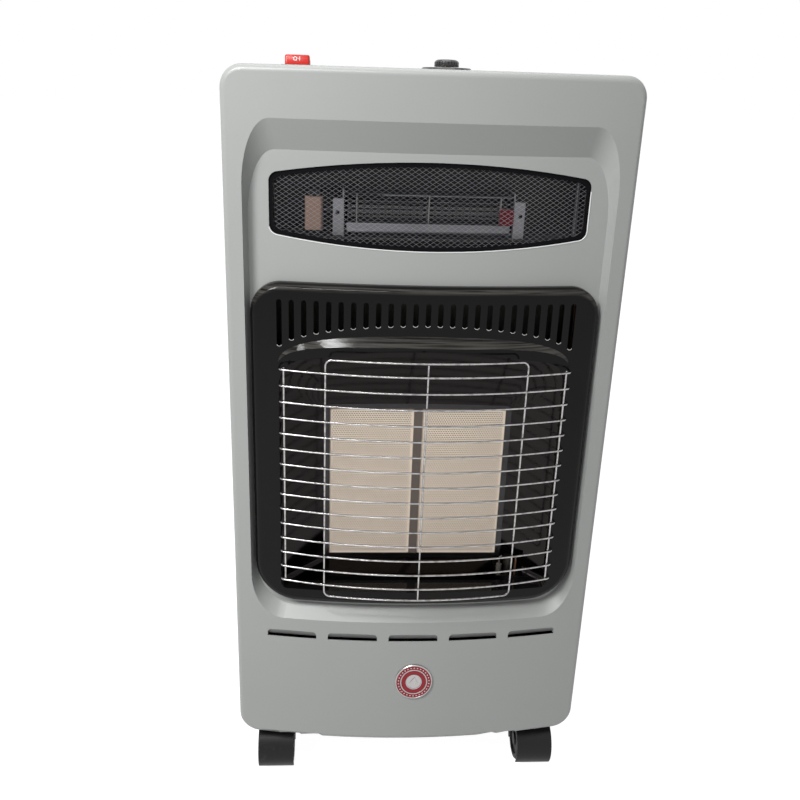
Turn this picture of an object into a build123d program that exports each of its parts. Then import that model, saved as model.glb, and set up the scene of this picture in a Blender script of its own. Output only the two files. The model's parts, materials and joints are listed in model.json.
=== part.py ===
from build123d import *
import math
import os

# Portable gas cabinet heater with an electric fan heater above the burner.
# Millimetres. X to the right seen from the front, Z up, the front faces -Y.
# The pieces are laid out from the plane of the front panel's side edges (y = 0)
# and moved at the end so that the origin lies under the middle of the whole heater.

# ---- Sheets and fits ----
panel_sheet = 1.2
cabinet_sheet = 1.2
gap = 0.3  # between pieces assembled face to face
run_fit = 0.05  # radial clearance of every shaft that turns or slides
far = 999.0  # how far a cutter runs past the piece it cuts

# ---- Front panel: bowed in plan, edges turned back ----
panel_width = 380.0
panel_height = 708.0
panel_bottom = 60.0
panel_bow = 20.0
panel_return = 14.0
panel_top_corner = 20.0
panel_bottom_corner = 22.0
panel_edge_round = 6.0

# ---- Shallow recess pressed into the front panel ----
recess_margin = 17.5
recess_bottom = 215.0
recess_top = 724.0
recess_depth = 13.0
recess_top_run = 27.0
recess_bottom_run = 14.0
recess_side_run = 4.0
recess_top_corner = 30.0
recess_bottom_corner = 38.0

# ---- Barrel-shaped window of the fan heater and its diamond mesh ----
window_margin = 23.5
window_height = 80.4
window_end_height = 54.5
window_middle_z = 649.4
window_corner = 9.0
mesh_border = 9.0
mesh_sheet = 0.8
mesh_overlap = 1.0
rim_sheet = 0.8
rim_shown = 4.0
mesh_pitch_x = 15.0
mesh_pitch_z = 9.0
mesh_strand = 1.5

# ---- Air louvres low on the front panel ----
louvre_count = 5
louvre_pitch = 65.4
louvre_width = 53.0
louvre_height = 9.0
louvre_bottom = 191.0
louvre_depth = 5.4
louvre_slit = 0.6
louvre_corner = 5.0

# ---- Enamelled surround of the burner ----
surround_margin = 4.5
surround_bottom = 235.0
surround_top = 578.0
surround_top_corner = 30.0
surround_bottom_corner = 45.0
surround_proud = 12.5
surround_sheet = 1.2
surround_edge_round = 8.0
slot_count = 25
slot_margin = 28.0
slot_width = 5.0
slot_top = 563.0
slot_arch_bottom = 508.5
slot_middle_bottom = 541.0
opening_margin = 27.0
opening_bottom = 252.0
opening_corner = 6.0
opening_top_corner = 30.0
opening_end_top = 502.0
opening_middle_top = 516.0
opening_wall_back = 5.8
visor_top = 531.5
visor_end = 499.0
visor_reach = 7.0
visor_end_reach = 2.0
visor_slope = 1.43  # fall of the visor's top for each millimetre forwards
visor_lip = 520.0
visor_lip_end = 496.0
visor_tip = 502.5
panel_window_margin = 14.0

# ---- Reflector and burner ----
reflector_sheet = 1.0
reflector_arch = 2.0  # rise of the arched top where it meets the burner
burner_face = 32.0
burner_bottom = 269.5
plaque_height = 172.0
plaque_width = 89.6
plaque_thickness = 13.0
divider_width = 6.0
divider_cap = 1.4
frame_sheet = 1.2
frame_lap = 1.5
frame_rim = 5.5
box_sheet = 1.0
box_depth = 17.0
box_inset = 3.0
mixing_radius = 7.5
mixing_wall = 1.0
mixing_bell_radius = 9.0
mixing_bottom = 152.0
mixing_line = 54.0
injector_height = 22.0
injector_radius = 4.5
injector_space = 5.0

# ---- Wire guard ----
wire_radius = 0.9
guard_reach = 45.2
guard_bow_radius = 472.0
guard_top_wire = 499.0
guard_bottom_wire = 272.0
guard_wire_count = 15
guard_end_bend = 4.6
guard_end_depth = 4.0
guard_loop_half_width = 96.0
guard_loop_top = 512.0
guard_loop_bottom = 258.0
guard_loop_corner = 6.0
guard_end_inset = 4.4
weld_gap = 0.1

# ---- Cabinet ----
cabinet_back = 374.0
cabinet_front = 6.5
cabinet_clear = 0.4
side_bottom = 66.0
side_flange = 12.0
side_slot_count = 6
side_slot_pitch = 11.0
side_slot_length = 90.0
side_slot_height = 4.0
side_slot_bottom = 655.0
side_slot_middle = 215.0
floor_plate = 1.5
floor_top = 69.5
floor_lip = 5.5
floor_upstand = 13.0
platform_margin = 10.0
platform_rise = 2.0
platform_slope = 4.0
header_height = 76.0
cap_height = 22.0
cap_flange = 14.0
cap_back_flange = 12.0
header_set_back = 9.0
shield_front = 64.0
shield_top = 700.0
shelf_top = 617.7
shelf_front = 14.0
pipe_notch = 7.0
tie_height = 20.0
screw_radius = 2.0
screw_head_radius = 4.0
screw_head = 1.8
screw_length = 5.0
screw_front = 90.0
screw_back = 64.0

# ---- Rear door ----
door_depth = 12.4
door_sheet = 1.0
door_bottom = 76.0
door_corner_cut = 4.5
door_pivot_inset = 4.5
door_pivot_depth = 7.0
door_pin_radius = 2.0
door_slot_rows = 9
door_slot_pitch = 14.0
door_slot_length = 70.0
door_slot_height = 4.0
door_slot_columns = 3
door_slot_spacing = 95.0
door_slot_bottom = 120.0
door_slot_gap = 330.0
tab_width = 13.0
tab_reach = 5.0
latch_inset = 25.0
latch_height = 380.0
latch_spindle = 4.0
latch_base_radius = 12.0
latch_knob = 11.1
latch_bar = 8.0
latch_cam_length = 22.0
latch_cam = 2.0

# ---- Control knob, valve and dial plate ----
knob_x = 12.0
knob_y = 38.0
knob_radius = 11.2
knob_height = 6.5
knob_travel = 4.0
knob_flutes = 24
knob_flute_radius = 0.9
bezel_radius = 23.0
bezel_height = 3.8
spindle_radius = 4.0
collar_radius = 7.0
collar_length = 12.0
valve_width = 40.0
valve_depth = 32.0
valve_height = 36.0
valve_neck = 17.4
valve_neck_radius = 12.0

# ---- Rocker switch ----
switch_margin = 67.0
switch_y = 33.0
rocker_width = 22.0
rocker_radius = 13.4
rocker_height = 11.0
rocker_dish = 2.0
rocker_lean = 1.9
rocker_keel = 6.0
rocker_tilt = 9.0
rocker_pivot_drop = 1.4
trunnion_radius = 1.5
switch_wall = 2.0
switch_bezel = 2.2
switch_body_depth = 22.0

# ---- Fan heater module ----
fan_y = 42.0
fan_z = 640.0
fan_rotor_radius = 16.0
fan_shaft = 2.5
fan_blades = 20
fan_half_length = 76.0
fan_housing_radius = 18.5
fan_housing_half = 79.5
outlet_top = 657.0
outlet_bottom = 632.0
outlet_front = 18.0
outlet_lip = 7.0
end_plate_x = 80.0
end_plate_bottom = 618.0
end_plate_top = 661.5
end_plate_back = 61.0
end_flange = 10.4
end_flange_bottom = 620.0
end_flange_top = 654.0
end_hole = 2.0
end_foot = (25.0, 50.0)
core_left = -113.0
core_thickness = 10.0
core_bore = 11.3
motor_rotor_radius = 11.0
core_leg_front = 14.5
core_leg = 7.0
core_yoke = 5.0
core_height = 40.5
coil_build = 3.3
card_x = 68.0
card_thickness = 0.8
card_front = 17.5
card_back = 23.0
element_wires = 4
element_wire_radius = 0.9
element_pitch = 4.6

# ---- Castors ----
castor_margin = 40.0
castor_front = 41.0
castor_rear_margin = 43.0
castor_trail = 20.0
wheel_radius = 25.0
wheel_inner = 2.9
wheel_outer = 19.8
wheel_round = 3.0
hood_half_width = 20.3
hood_gap = 0.8
hood_wall = 1.6
hood_skirt = 9.0
axle_radius = 4.0
stem_radius = 5.0
stem_boss = 8.5
stem_plate = 38.0
stem_plate_thickness = 2.0
boss_top = 60.0

# ---- Gas pipes ----
pipe_radius = 3.0
pilot_pipe_radius = 2.0
lead_radius = 1.3
pipe_bend = 12.0
pipe_line = 54.0
pipe_margin = 18.9
pipe_spacing = 9.0
hose_tail_offset = 48.0
hose_tail_y = 110.0
hose_tail_radius = 4.6
hose_tail_length = 24.0
hose_tail_bore = 2.2
pilot_inset = 37.0
pilot_y = 20.0
pilot_reach = 9.0  # from the pilot to the electrode and to the probe
electrode_radius = 3.0
probe_radius = 1.6

# ---- Small things ----
badge_radius = 21.0
badge_x = 2.7
badge_z = 140.2
badge_thickness = 2.4
badge_rim = 3.0
badge_dish = 0.5
gland_margin = 50.0
gland_z = 725.0
gland_radius = 7.0
gland_neck_radius = 5.0
gland_bore = 3.6
gland_length = 14.0

# ---- Derived sizes ----
panel_top = panel_bottom + panel_height
bow_radius = ((panel_width / 2) ** 2 + panel_bow**2) / (2 * panel_bow)
bow_centre = bow_radius - panel_bow
recess_half_width = panel_width / 2 - recess_margin
window_half_width = recess_half_width - window_margin
surround_half_width = recess_half_width - surround_margin
slot_pitch = 2 * (surround_half_width - slot_margin) / (slot_count - 1)
opening_half_width = surround_half_width - opening_margin
surround_face = recess_depth - surround_proud
guard_half_width = opening_half_width - gap - wire_radius
pilot_x = opening_half_width - pilot_inset
cabinet_half = panel_width / 2 - panel_sheet - cabinet_clear
inner_half = cabinet_half - cabinet_sheet - gap
cabinet_top = panel_top - panel_sheet - cabinet_clear
shoulder = panel_top_corner - panel_sheet - cabinet_clear
cap_bottom = cabinet_top - cap_height
header_low = cabinet_top - header_height
door_back = cabinet_back + gap + gap + door_depth
door_top = header_low - 3 * gap - cabinet_sheet
door_half = cabinet_half - 1.4
pivot_x = -door_half + door_pivot_inset
pivot_y = cabinet_back + door_pivot_depth
knob_bottom = cabinet_top + gap + knob_travel + 0.2
knob_top = knob_bottom + knob_height
latch_x = door_half - latch_inset
latch_back = door_back + latch_knob
pivot_z = cabinet_top - rocker_pivot_drop
spindle_bottom = cabinet_top - valve_neck - 11.0
castor_x = panel_width / 2 - castor_margin
castor_rear = cabinet_back - castor_rear_margin
screw_depths = (screw_front, (screw_front + cabinet_back - screw_back) / 2, cabinet_back - screw_back)
spark_line = inner_half - pipe_margin
thermo_line = spark_line - pipe_spacing
pilot_line = thermo_line - pipe_spacing
pipe_left = -pilot_line
hose_tail_x = knob_x + hose_tail_offset
gland_x = panel_width / 2 - gland_margin
switch_x = switch_margin - panel_width / 2
platform_middle = (shield_front + cabinet_back) / 2
platform_radius = (cabinet_back - shield_front) / 2 - platform_margin
front_most = -guard_reach - wire_radius
middle_depth = (front_most + latch_back) / 2


# ---- Shared shapes ----
def block(x, y, z):
    """Box between the two ends given for each axis."""
    spans = [sorted(ends) for ends in (x, y, z)]
    size = [high - low for low, high in spans]
    middle = [(high + low) / 2 for low, high in spans]
    return Pos(*middle) * Box(*size)


def rod(start, end, radius):
    """Round bar from one point to another."""
    base = Vector(*start)
    run = Vector(*end) - base
    bar = Cylinder(radius, run.length, align=(Align.CENTER, Align.CENTER, Align.MIN))
    return Plane(origin=base, z_dir=run) * bar


def through(face, y0, y1):
    """Prism of a front-view outline between two depths."""
    plane = Plane(origin=(0, y1, 0), x_dir=(1, 0, 0), z_dir=(0, -1, 0))
    return extrude(plane * face, y1 - y0, dir=(0, -1, 0))


def along_x(face, x0, x1):
    """Prism of a side-view outline (y, z) between two widths."""
    plane = Plane(origin=(x0, 0, 0), x_dir=(0, 1, 0), z_dir=(1, 0, 0))
    return extrude(plane * face, x1 - x0, dir=(1, 0, 0))


def mirrored(solid):
    """The same piece on the other side."""
    return mirror(solid, about=Plane.YZ)


def rounded(half_width, bottom, top, top_radius, bottom_radius):
    """Front-view rectangle with its own radius at the top and the bottom corners."""
    corners = [(-half_width, bottom), (half_width, bottom), (half_width, top), (-half_width, top)]
    face = make_face(Polyline(*corners, close=True))
    face = fillet(face.vertices().group_by(Axis.Y)[-1], top_radius)
    return fillet(face.vertices().group_by(Axis.Y)[0], bottom_radius)


def arched(half_width, bottom, end_top, middle_top, top_corner, bottom_corner):
    """Front-view outline with an arched top and its own radius at the top and the bottom corners."""
    left, right = (-half_width, end_top), (half_width, end_top)
    arch = ThreePointArc(left, (0, middle_top), right)
    sides = Polyline(right, (half_width, bottom), (-half_width, bottom), left)
    face = make_face(arch.edges() + sides.edges())
    face = fillet(face.vertices().group_by(Axis.Y)[-1], top_corner)
    return fillet(face.vertices().group_by(Axis.Y)[0], bottom_corner)


def bow_y(x, offset):
    """Depth of the bowed front at x, offset backwards from its outer face."""
    return bow_centre - math.sqrt((bow_radius - offset) ** 2 - x**2)


def bowed(offset, half_width, back, bottom, top):
    """Block with a bowed front, offset backwards, and a flat back."""
    edge = bow_y(half_width, offset)
    front = ThreePointArc((-half_width, edge), (0, bow_y(0, offset)), (half_width, edge))
    rest = Polyline((half_width, edge), (half_width, back), (-half_width, back), (-half_width, edge))
    plan = make_face(front.edges() + rest.edges())
    return Pos(0, 0, bottom) * extrude(plan, top - bottom, dir=(0, 0, 1))


def bowed_tray(offset, half_width, back, span, corners, edge_round):
    """Bowed block with rounded corners and a rounded front edge; span is bottom and top."""
    form = bowed(offset, half_width, back, *span)
    depthwise = form.edges().filter_by(Axis.Y).group_by(Axis.Z)
    form = fillet(depthwise[-1], corners[0])
    depthwise = form.edges().filter_by(Axis.Y).group_by(Axis.Z)
    form = fillet(depthwise[0], corners[1])
    front = form.faces().sort_by(Axis.Y)[0]
    return fillet(front.edges(), edge_round)


def bowed_sheet(offset, thickness, half_width, bottom, top):
    """Curved sheet that follows the bow."""
    back = bow_y(half_width, offset) + 2 * thickness + panel_bow
    outer = bowed(offset, half_width, back, bottom, top)
    return outer - bowed(offset + thickness, half_width + 1, back + 1, bottom - 1, top + 1)


def tube(path, radius):
    """Round wire or pipe along a path."""
    section = Plane(origin=path @ 0, z_dir=path % 0) * Circle(radius)
    return sweep(section, path=path)


def pipe(points, radius, bend):
    """Pipe along straight runs with bends of one radius."""
    return tube(FilletPolyline(*points, radius=bend), radius)


# ---- Front panel ----
def panel_form(grow):
    """Outer form of the bowed panel, or the hollow inside its sheet."""
    span = panel_bottom + grow, panel_top - grow
    corners = panel_top_corner - grow, panel_bottom_corner - grow
    half = panel_width / 2 - grow
    return bowed_tray(grow, half, panel_return + grow, span, corners, panel_edge_round - grow)


def recess_form(grow):
    """Space pressed into the panel, with sloping walls and rounded corners."""
    ahead = panel_bow
    deep = recess_depth + panel_bow
    top_slope = recess_top_run / recess_depth
    bottom_slope = recess_bottom_run / recess_depth
    side_slope = recess_side_run / recess_depth
    top = recess_top + grow * math.hypot(1, top_slope)
    bottom = recess_bottom - grow * math.hypot(1, bottom_slope)
    half = recess_half_width + grow * math.hypot(1, side_slope)
    profile = Polyline(
        (bow_radius + ahead, bottom - ahead * bottom_slope),
        (bow_radius + ahead, top + ahead * top_slope),
        (bow_radius - deep, top - deep * top_slope),
        (bow_radius - deep, bottom + deep * bottom_slope),
        close=True,
    )
    sweep_angle = 2 * math.degrees(math.asin(panel_width / 2 / (bow_radius - deep)))
    start = math.radians(-sweep_angle / 2)
    outward = Vector(math.sin(start), -math.cos(start), 0)
    plane = Plane(origin=(0, bow_centre, 0), x_dir=outward, z_dir=outward.cross(Vector(0, 0, 1)))
    walls = revolve(plane * make_face(profile), Axis((0, bow_centre, 0), (0, 0, 1)), sweep_angle)
    edge = bow_y(recess_half_width, 0)
    run = 2 * ahead
    wide = half + run * side_slope
    narrow = half - run * side_slope
    corners = (-wide, edge - run), (wide, edge - run), (narrow, edge + run), (-narrow, edge + run)
    plan = make_face(Polyline(*corners, close=True))
    sides = Pos(0, 0, bottom - far) * extrude(plan, 2 * far, dir=(0, 0, 1))
    form = walls & sides
    for order, radius in ((-1, recess_top_corner), (0, recess_bottom_corner)):
        creases = [side_crease(form, sign, order) for sign in (-1, 1)]
        form = fillet(creases, radius)
    behind = bowed(recess_depth + grow, panel_width / 2, 2 * deep, -far, far)
    return form - behind


def side_crease(form, sign, order):
    """The edge where a side wall of the recess meets its top (-1) or bottom (0) wall."""
    walls = form.faces().filter_by(GeomType.PLANE)
    side = walls.sort_by(Axis.X)[-1 if sign > 0 else 0]
    return side.edges().sort_by(Axis.Z)[order]


def window_face(inset):
    """Barrel-shaped outline of the fan heater's window."""
    half = window_half_width - inset
    middle = window_height / 2 - inset
    end = window_end_height / 2 - inset
    top = ThreePointArc((-half, end), (0, middle), (half, end))
    low = ThreePointArc((half, -end), (0, -middle), (-half, -end))
    sides = Line((half, end), (half, -end)).edges() + Line((-half, -end), (-half, end)).edges()
    face = make_face(top.edges() + low.edges() + sides)
    return Pos(0, window_middle_z) * fillet(face.vertices(), window_corner)


def louvre_form(grow):
    """Wedge pressed in under one louvre's upper edge, on the middle line."""
    half = louvre_width / 2 + grow
    low, high = louvre_bottom - grow, louvre_bottom + louvre_height + grow
    outline = rounded(half, low, high, louvre_corner + grow, grow + 0.1)
    front, face = -2 * panel_bow, -panel_bow
    back = louvre_depth - panel_bow + grow
    points = (front, low), (front, high), (face, high), (back, louvre_slit_top()), (back, low)
    slope = make_face(Polyline(*points, close=True))
    return through(outline, front, back) & along_x(slope, -half, half)


def louvre_slit_top():
    return louvre_bottom + louvre_slit


def louvre_turns():
    """Angles about the bow's axis at which the louvres stand."""
    step = math.degrees(louvre_pitch / bow_radius)
    return [(index - (louvre_count - 1) / 2) * step for index in range(louvre_count)]


def about_bow(solid, angle):
    """Turns a piece about the axis of the bow."""
    return Pos(0, bow_centre, 0) * Rot(0, 0, angle) * Pos(0, -bow_centre, 0) * solid


def front_panel():
    shell = panel_form(0) - recess_form(0)
    shell = shell - (panel_form(panel_sheet) - recess_form(panel_sheet))
    shell = shell - through(window_face(0), -panel_bow, 3 * panel_bow)
    margin = panel_window_margin
    burner_window = rounded(
        opening_half_width + margin, opening_bottom - margin / 2, slot_top + margin / 2, margin, margin
    )
    shell = shell - through(burner_window, -panel_bow, 3 * panel_bow)
    pocket = louvre_form(0)
    scoop = louvre_form(panel_sheet) - pocket
    scoop = scoop - block((-far, far), (-far, far), (0, louvre_slit_top()))
    scoop = scoop - block((-far, far), (-far, bow_y(louvre_width / 2, 0) + gap), (0, far))
    for angle in louvre_turns():
        shell = shell - about_bow(pocket, angle)
        shell = shell + about_bow(scoop, angle)
    return shell


def window_backing(offset, thickness):
    """Bowed sheet behind the window, with a plain border all round it."""
    half = window_half_width + mesh_border
    low = window_middle_z - window_height / 2 - mesh_border
    high = window_middle_z + window_height / 2 + mesh_border
    return bowed_sheet(offset, thickness, half, low, high)


def mesh_rim():
    """Frame that shows as a narrow border inside the window."""
    sheet = window_backing(recess_depth + panel_sheet + gap, rim_sheet)
    return sheet - through(window_face(rim_shown), -panel_bow, 2 * panel_bow)


def mesh_grille():
    """Sheet cut into diamonds, held behind the rim."""
    sheet = window_backing(recess_depth + panel_sheet + rim_sheet + 2 * gap, mesh_sheet)
    inset = window_face(mesh_overlap)
    cutter = Sketch() + [diamond(*cell) for cell in mesh_cells() if fits(cell, inset)]
    return sheet - through(cutter, -panel_bow, 2 * panel_bow)


def mesh_cells():
    """Centres of the staggered diamonds."""
    rows = int(window_height / mesh_pitch_z)
    columns = int(window_half_width / mesh_pitch_x) + 1
    for row in range(-rows, rows + 1):
        shift = mesh_pitch_x / 2 if row % 2 else 0
        for column in range(-columns, columns + 1):
            yield column * mesh_pitch_x + shift, window_middle_z + row * mesh_pitch_z / 2


def mesh_half_cell():
    """Half diagonals of a diamond, less half a strand all round."""
    a, b = mesh_pitch_x / 2, mesh_pitch_z / 2
    lean = mesh_strand / 2 * math.hypot(a, b)
    return a - lean / b, b - lean / a


def diamond(x, z):
    a, b = mesh_half_cell()
    return Pos(x, z) * make_face(Polyline((-a, 0), (0, b), (a, 0), (0, -b), close=True))


def fits(cell, face):
    """True if a diamond lies wholly inside the window."""
    a, b = mesh_half_cell()
    x, z = cell
    tips = [(x - a, z), (x + a, z), (x, z - b), (x, z + b)]
    return all(face.face().is_inside(Vector(tip_x, tip_z, 0)) for tip_x, tip_z in tips)


# ---- Burner surround, guard and reflector ----
def surround_form(grow, back):
    offset = recess_depth - surround_proud + grow
    span = surround_bottom + grow, surround_top - grow
    corners = surround_top_corner - grow, surround_bottom_corner - grow
    return bowed_tray(offset, surround_half_width - grow, back, span, corners, surround_edge_round - grow)


def opening_face(grow):
    return arched(
        opening_half_width + grow,
        opening_bottom - grow,
        opening_end_top + grow,
        opening_middle_top + grow,
        opening_top_corner + grow,
        opening_corner + grow,
    )


def slots():
    """Row of upright slots whose lower ends follow an arch."""
    half_row = (slot_count - 1) / 2
    cutters = Sketch()
    for index in range(slot_count):
        x = (index - half_row) * slot_pitch
        along = x / (half_row + 0.5) / slot_pitch
        low = slot_arch_bottom + (slot_middle_bottom - slot_arch_bottom) * math.sqrt(1 - along**2)
        slot = SlotOverall(slot_top - low, slot_width, rotation=90)
        cutters += Pos(x, (slot_top + low) / 2) * slot
    return through(cutters, -panel_bow, panel_bow)


def burner_surround():
    """Enamelled pressing with a turned-back opening and a visor over it."""
    back = 2 * panel_bow
    shell = surround_form(0, back) - surround_form(surround_sheet, back + 1)
    shell = shell & recess_form(-gap)
    front = bowed(surround_face, surround_half_width, back, 0, panel_top)
    wall = through(opening_face(surround_sheet), -panel_bow, opening_wall_back) & front
    shell = shell + wall + visor()
    shell = shell - through(opening_face(0), -2 * panel_bow, panel_bow)
    return shell - slots()


def visor():
    """Crescent hood over the opening, open below and proudest in the middle."""
    half = opening_half_width + surround_sheet
    arch = ThreePointArc((-half, visor_lip_end), (0, visor_lip), (half, visor_lip_end))
    rest = Polyline((half, visor_lip_end), (half, 0), (-half, 0), (-half, visor_lip_end))
    under = make_face(arch.edges() + rest.edges())
    under += Pos(0, visor_tip / 2) * Rectangle(2 * half, visor_tip)
    hood = visor_form(0) - visor_form(surround_sheet)
    return hood - through(under, -far, far)


def visor_form(inset):
    """Everything under the visor's sloping top, inset by a wall."""
    half = opening_half_width + surround_sheet - inset
    rise = visor_top - visor_end
    rear = bow_y(half, surround_face)
    lift = visor_slope * (rear - bow_y(0, surround_face))
    crown = Pos(0, visor_end) * Ellipse(half, rise + lift - inset * visor_slope)
    crown = crown & (Pos(0, visor_end + far / 2) * Rectangle(far, far))
    plane = Plane(origin=(0, rear, 0), x_dir=(1, 0, 0), z_dir=(0, -1, 0))
    length = 2 * panel_bow
    form = extrude(plane * crown, length, dir=(0, -1, -visor_slope))
    edge = rear - visor_end_reach + inset
    nose = bow_y(0, surround_face) - visor_reach + inset
    front = ThreePointArc((-half, edge), (0, nose), (half, edge))
    rest = Polyline((half, edge), (half, panel_bow), (-half, panel_bow), (-half, edge))
    reach = extrude(make_face(front.edges() + rest.edges()), panel_top, dir=(0, 0, 1))
    behind = bowed(surround_face + surround_sheet / 2, panel_width / 2, far, 0, panel_top)
    return (form & reach) - behind


def reflector_section(inset, y, rear):
    """Outline of the reflector's inside (inset 0) or outside, at its front or rear."""
    if rear:
        half = frame_half() - reflector_sheet
        top = frame_high() - reflector_sheet - inset
        corner = opening_corner - inset
        face = arched(half - inset, frame_low() + inset, top - reflector_arch, top, corner, corner)
    else:
        face = opening_face(-inset)
    plane = Plane(origin=(0, y, 0), x_dir=(1, 0, 0), z_dir=(0, -1, 0))
    return plane * face


def reflector_box():
    front = opening_wall_back + gap
    rear = burner_face - 2 * gap - frame_sheet
    forms = []
    for inset in (-reflector_sheet, 0):
        ends = [reflector_section(inset, front, False), reflector_section(inset, rear, True)]
        forms.append(loft(ends, ruled=True))
    level = opening_bottom - 9, burner_bottom + 12
    pilot_gap = block((pilot_x - 15, pilot_x + 16), (front + 4, rear + 1), level)
    return forms[0] - forms[1] - pilot_gap


def flipped(point):
    """The same point on the left."""
    return Vector(-point.X, point.Y)


def turned_run(half, middle_y, bow, corner, end_y):
    """Bowed run in plan whose two ends turn straight back."""
    centre = Vector(0, middle_y + bow)
    corner_x = half - corner
    corner_y = centre.Y - math.sqrt((bow - corner) ** 2 - corner_x**2)
    hub = Vector(corner_x, corner_y)
    lean = (hub - centre).normalized()
    meet = centre + lean * bow
    bisector = (lean + Vector(1, 0)).normalized()
    middle = hub + bisector * corner
    side = Vector(half, corner_y)
    end = Vector(half, end_y)
    return [
        Line(flipped(end), flipped(side)),
        ThreePointArc(flipped(side), flipped(middle), flipped(meet)),
        ThreePointArc(flipped(meet), Vector(0, middle_y), meet),
        ThreePointArc(meet, middle, side),
        Line(side, end),
    ]


def joined(edges):
    return Wire([edge for piece in edges for edge in piece.edges()])


def guard_wire(z):
    """Cross wire whose ends reach back into the opening, or stop at the surround beside its arch."""
    within = z < opening_end_top - opening_top_corner
    face = bow_y(guard_half_width - wire_radius, surround_face) - gap
    depth = guard_end_depth if within else face
    run = turned_run(guard_half_width, -guard_reach, guard_bow_radius, guard_end_bend, depth)
    return Pos(0, 0, z) * tube(joined(run), wire_radius)


def guard_y(x, behind):
    """Depth of the guard's bow at x, some way behind its front wires."""
    return -guard_reach + guard_bow_radius - math.sqrt((guard_bow_radius - behind) ** 2 - x**2)


def guard_loop():
    """Wire ring that follows the bow, behind the cross wires: two cross runs and two sides."""
    behind = 2 * wire_radius + weld_gap
    corner = guard_loop_corner
    start_x = guard_loop_half_width - corner
    start_y = guard_y(start_x, behind)
    lean = math.asin(start_x / (guard_bow_radius - behind))
    slant = math.sqrt(0.5)

    def corner_points(side, level, turn):
        """Ends and middle of the bend at one corner, from the cross run to the upright."""
        out = Vector(side * math.cos(lean), math.sin(lean), 0) * corner
        down = Vector(0, 0, turn * corner)
        start = Vector(side * start_x, start_y, level)
        return start, start + out * slant + down * (1 - slant), start + out + down

    pieces = []
    for level, turn in ((guard_loop_top, -1), (guard_loop_bottom, 1)):
        left = corner_points(-1, level, turn)
        right = corner_points(1, level, turn)
        across = ThreePointArc(left[0], Vector(0, guard_y(0, behind), level), right[0])
        run = [ThreePointArc(*reversed(left)), across, ThreePointArc(*right)]
        pieces.append(tube(joined(run), wire_radius))
    leg_x = start_x + corner * math.cos(lean)
    leg_y = start_y + corner * math.sin(lean)
    low = guard_loop_bottom + corner + weld_gap
    high = guard_loop_top - corner - weld_gap
    sides = [rod((x, leg_y, low), (x, leg_y, high), wire_radius) for x in (-leg_x, leg_x)]
    return pieces + sides


def guard_grille():
    """Cross wires in front, with the ring, a middle post and two end posts behind them."""
    step = (guard_top_wire - guard_bottom_wire) / (guard_wire_count - 1)
    wires = [guard_wire(guard_bottom_wire + index * step) for index in range(guard_wire_count)]
    behind = 2 * wire_radius + weld_gap
    end_x = guard_half_width - guard_end_inset
    posts = []
    for x in (-end_x, end_x):
        y = guard_y(x, behind) + weld_gap
        posts.append(rod((x, y, guard_bottom_wire - 2), (x, y, guard_top_wire + 2), wire_radius))
    low = guard_loop_bottom + wire_radius + weld_gap
    high = guard_loop_top - wire_radius - weld_gap
    middle_y = guard_y(0, behind)
    posts.append(rod((0, middle_y, low), (0, middle_y, high), wire_radius))
    return wires + guard_loop() + posts


# ---- Burner ----
def frame_half():
    return divider_width / 2 + gap + plaque_width + frame_rim


def frame_low():
    return burner_bottom - frame_rim


def frame_high():
    return burner_bottom + plaque_height + frame_rim


def plaque(sign):
    inner = sign * (divider_width / 2 + gap)
    outer = sign * (divider_width / 2 + gap + plaque_width)
    high = burner_bottom + plaque_height
    slab = block((inner, outer), (burner_face, burner_face + plaque_thickness), (burner_bottom, high))
    return chamfer(slab.faces().sort_by(Axis.Y)[0].edges(), 0.6)


def plaque_divider():
    low, high = burner_bottom, burner_bottom + plaque_height
    front = burner_face - gap
    cap_half = divider_width / 2 + divider_cap
    lap = frame_lap + gap
    cap = block((-cap_half, cap_half), (front - frame_sheet, front), (low + lap, high - lap))
    back = burner_face + plaque_thickness
    return cap + block((-divider_width / 2, divider_width / 2), (front, back), (low, high))


def burner_frame():
    """Angle frame that holds the two plaques against the burner box."""
    front = burner_face - gap
    back = burner_face + plaque_thickness
    half = frame_half() - frame_rim
    low, high = burner_bottom, burner_bottom + plaque_height
    wide, rim_depth = half + frame_rim, (front - frame_sheet, front)
    ring = block((-wide, wide), rim_depth, (low - frame_rim, high + frame_rim))
    window = half - frame_lap
    ring = ring - block((-window, window), rim_depth, (low + frame_lap, high - frame_lap))
    wall = gap + frame_sheet
    tube_wall = block((-half - wall, half + wall), (front, back), (low - wall, high + wall))
    tube_wall = tube_wall - block((-half - gap, half + gap), (front, back), (low - gap, high + gap))
    return ring + tube_wall


def burner_box():
    """Gas chamber behind the plaques: a pan with a rim and a socket for the mixing tube."""
    front = burner_face + plaque_thickness + gap
    half, low, high = frame_half(), frame_low(), frame_high()
    rim = block((-half, half), (front, front + box_sheet), (low, high))
    pan_half = half - frame_rim - box_inset
    pan_low, pan_high = low + frame_rim + box_inset, high - frame_rim - box_inset
    back = front + box_depth
    pan = block((-pan_half, pan_half), (front, back), (pan_low, pan_high))
    pan = fillet(pan.edges().filter_by(Axis.Y), 6)
    inner = block(
        (-pan_half + box_sheet, pan_half - box_sheet),
        (front - 1, back - box_sheet),
        (pan_low + box_sheet, pan_high - box_sheet),
    )
    inner = fillet(inner.edges().filter_by(Axis.Y), 5)
    bore_radius = mixing_radius + 2 * run_fit
    socket = rod((0, mixing_line, low), (0, mixing_line, pan_low + 2), bore_radius + box_sheet)
    socket = socket & block((-far, far), (front + box_sheet, back), (0, far))
    bore = rod((0, mixing_line, low - 9), (0, mixing_line, pan_low + 9), bore_radius)
    return rim + pan + socket - inner - bore


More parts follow.
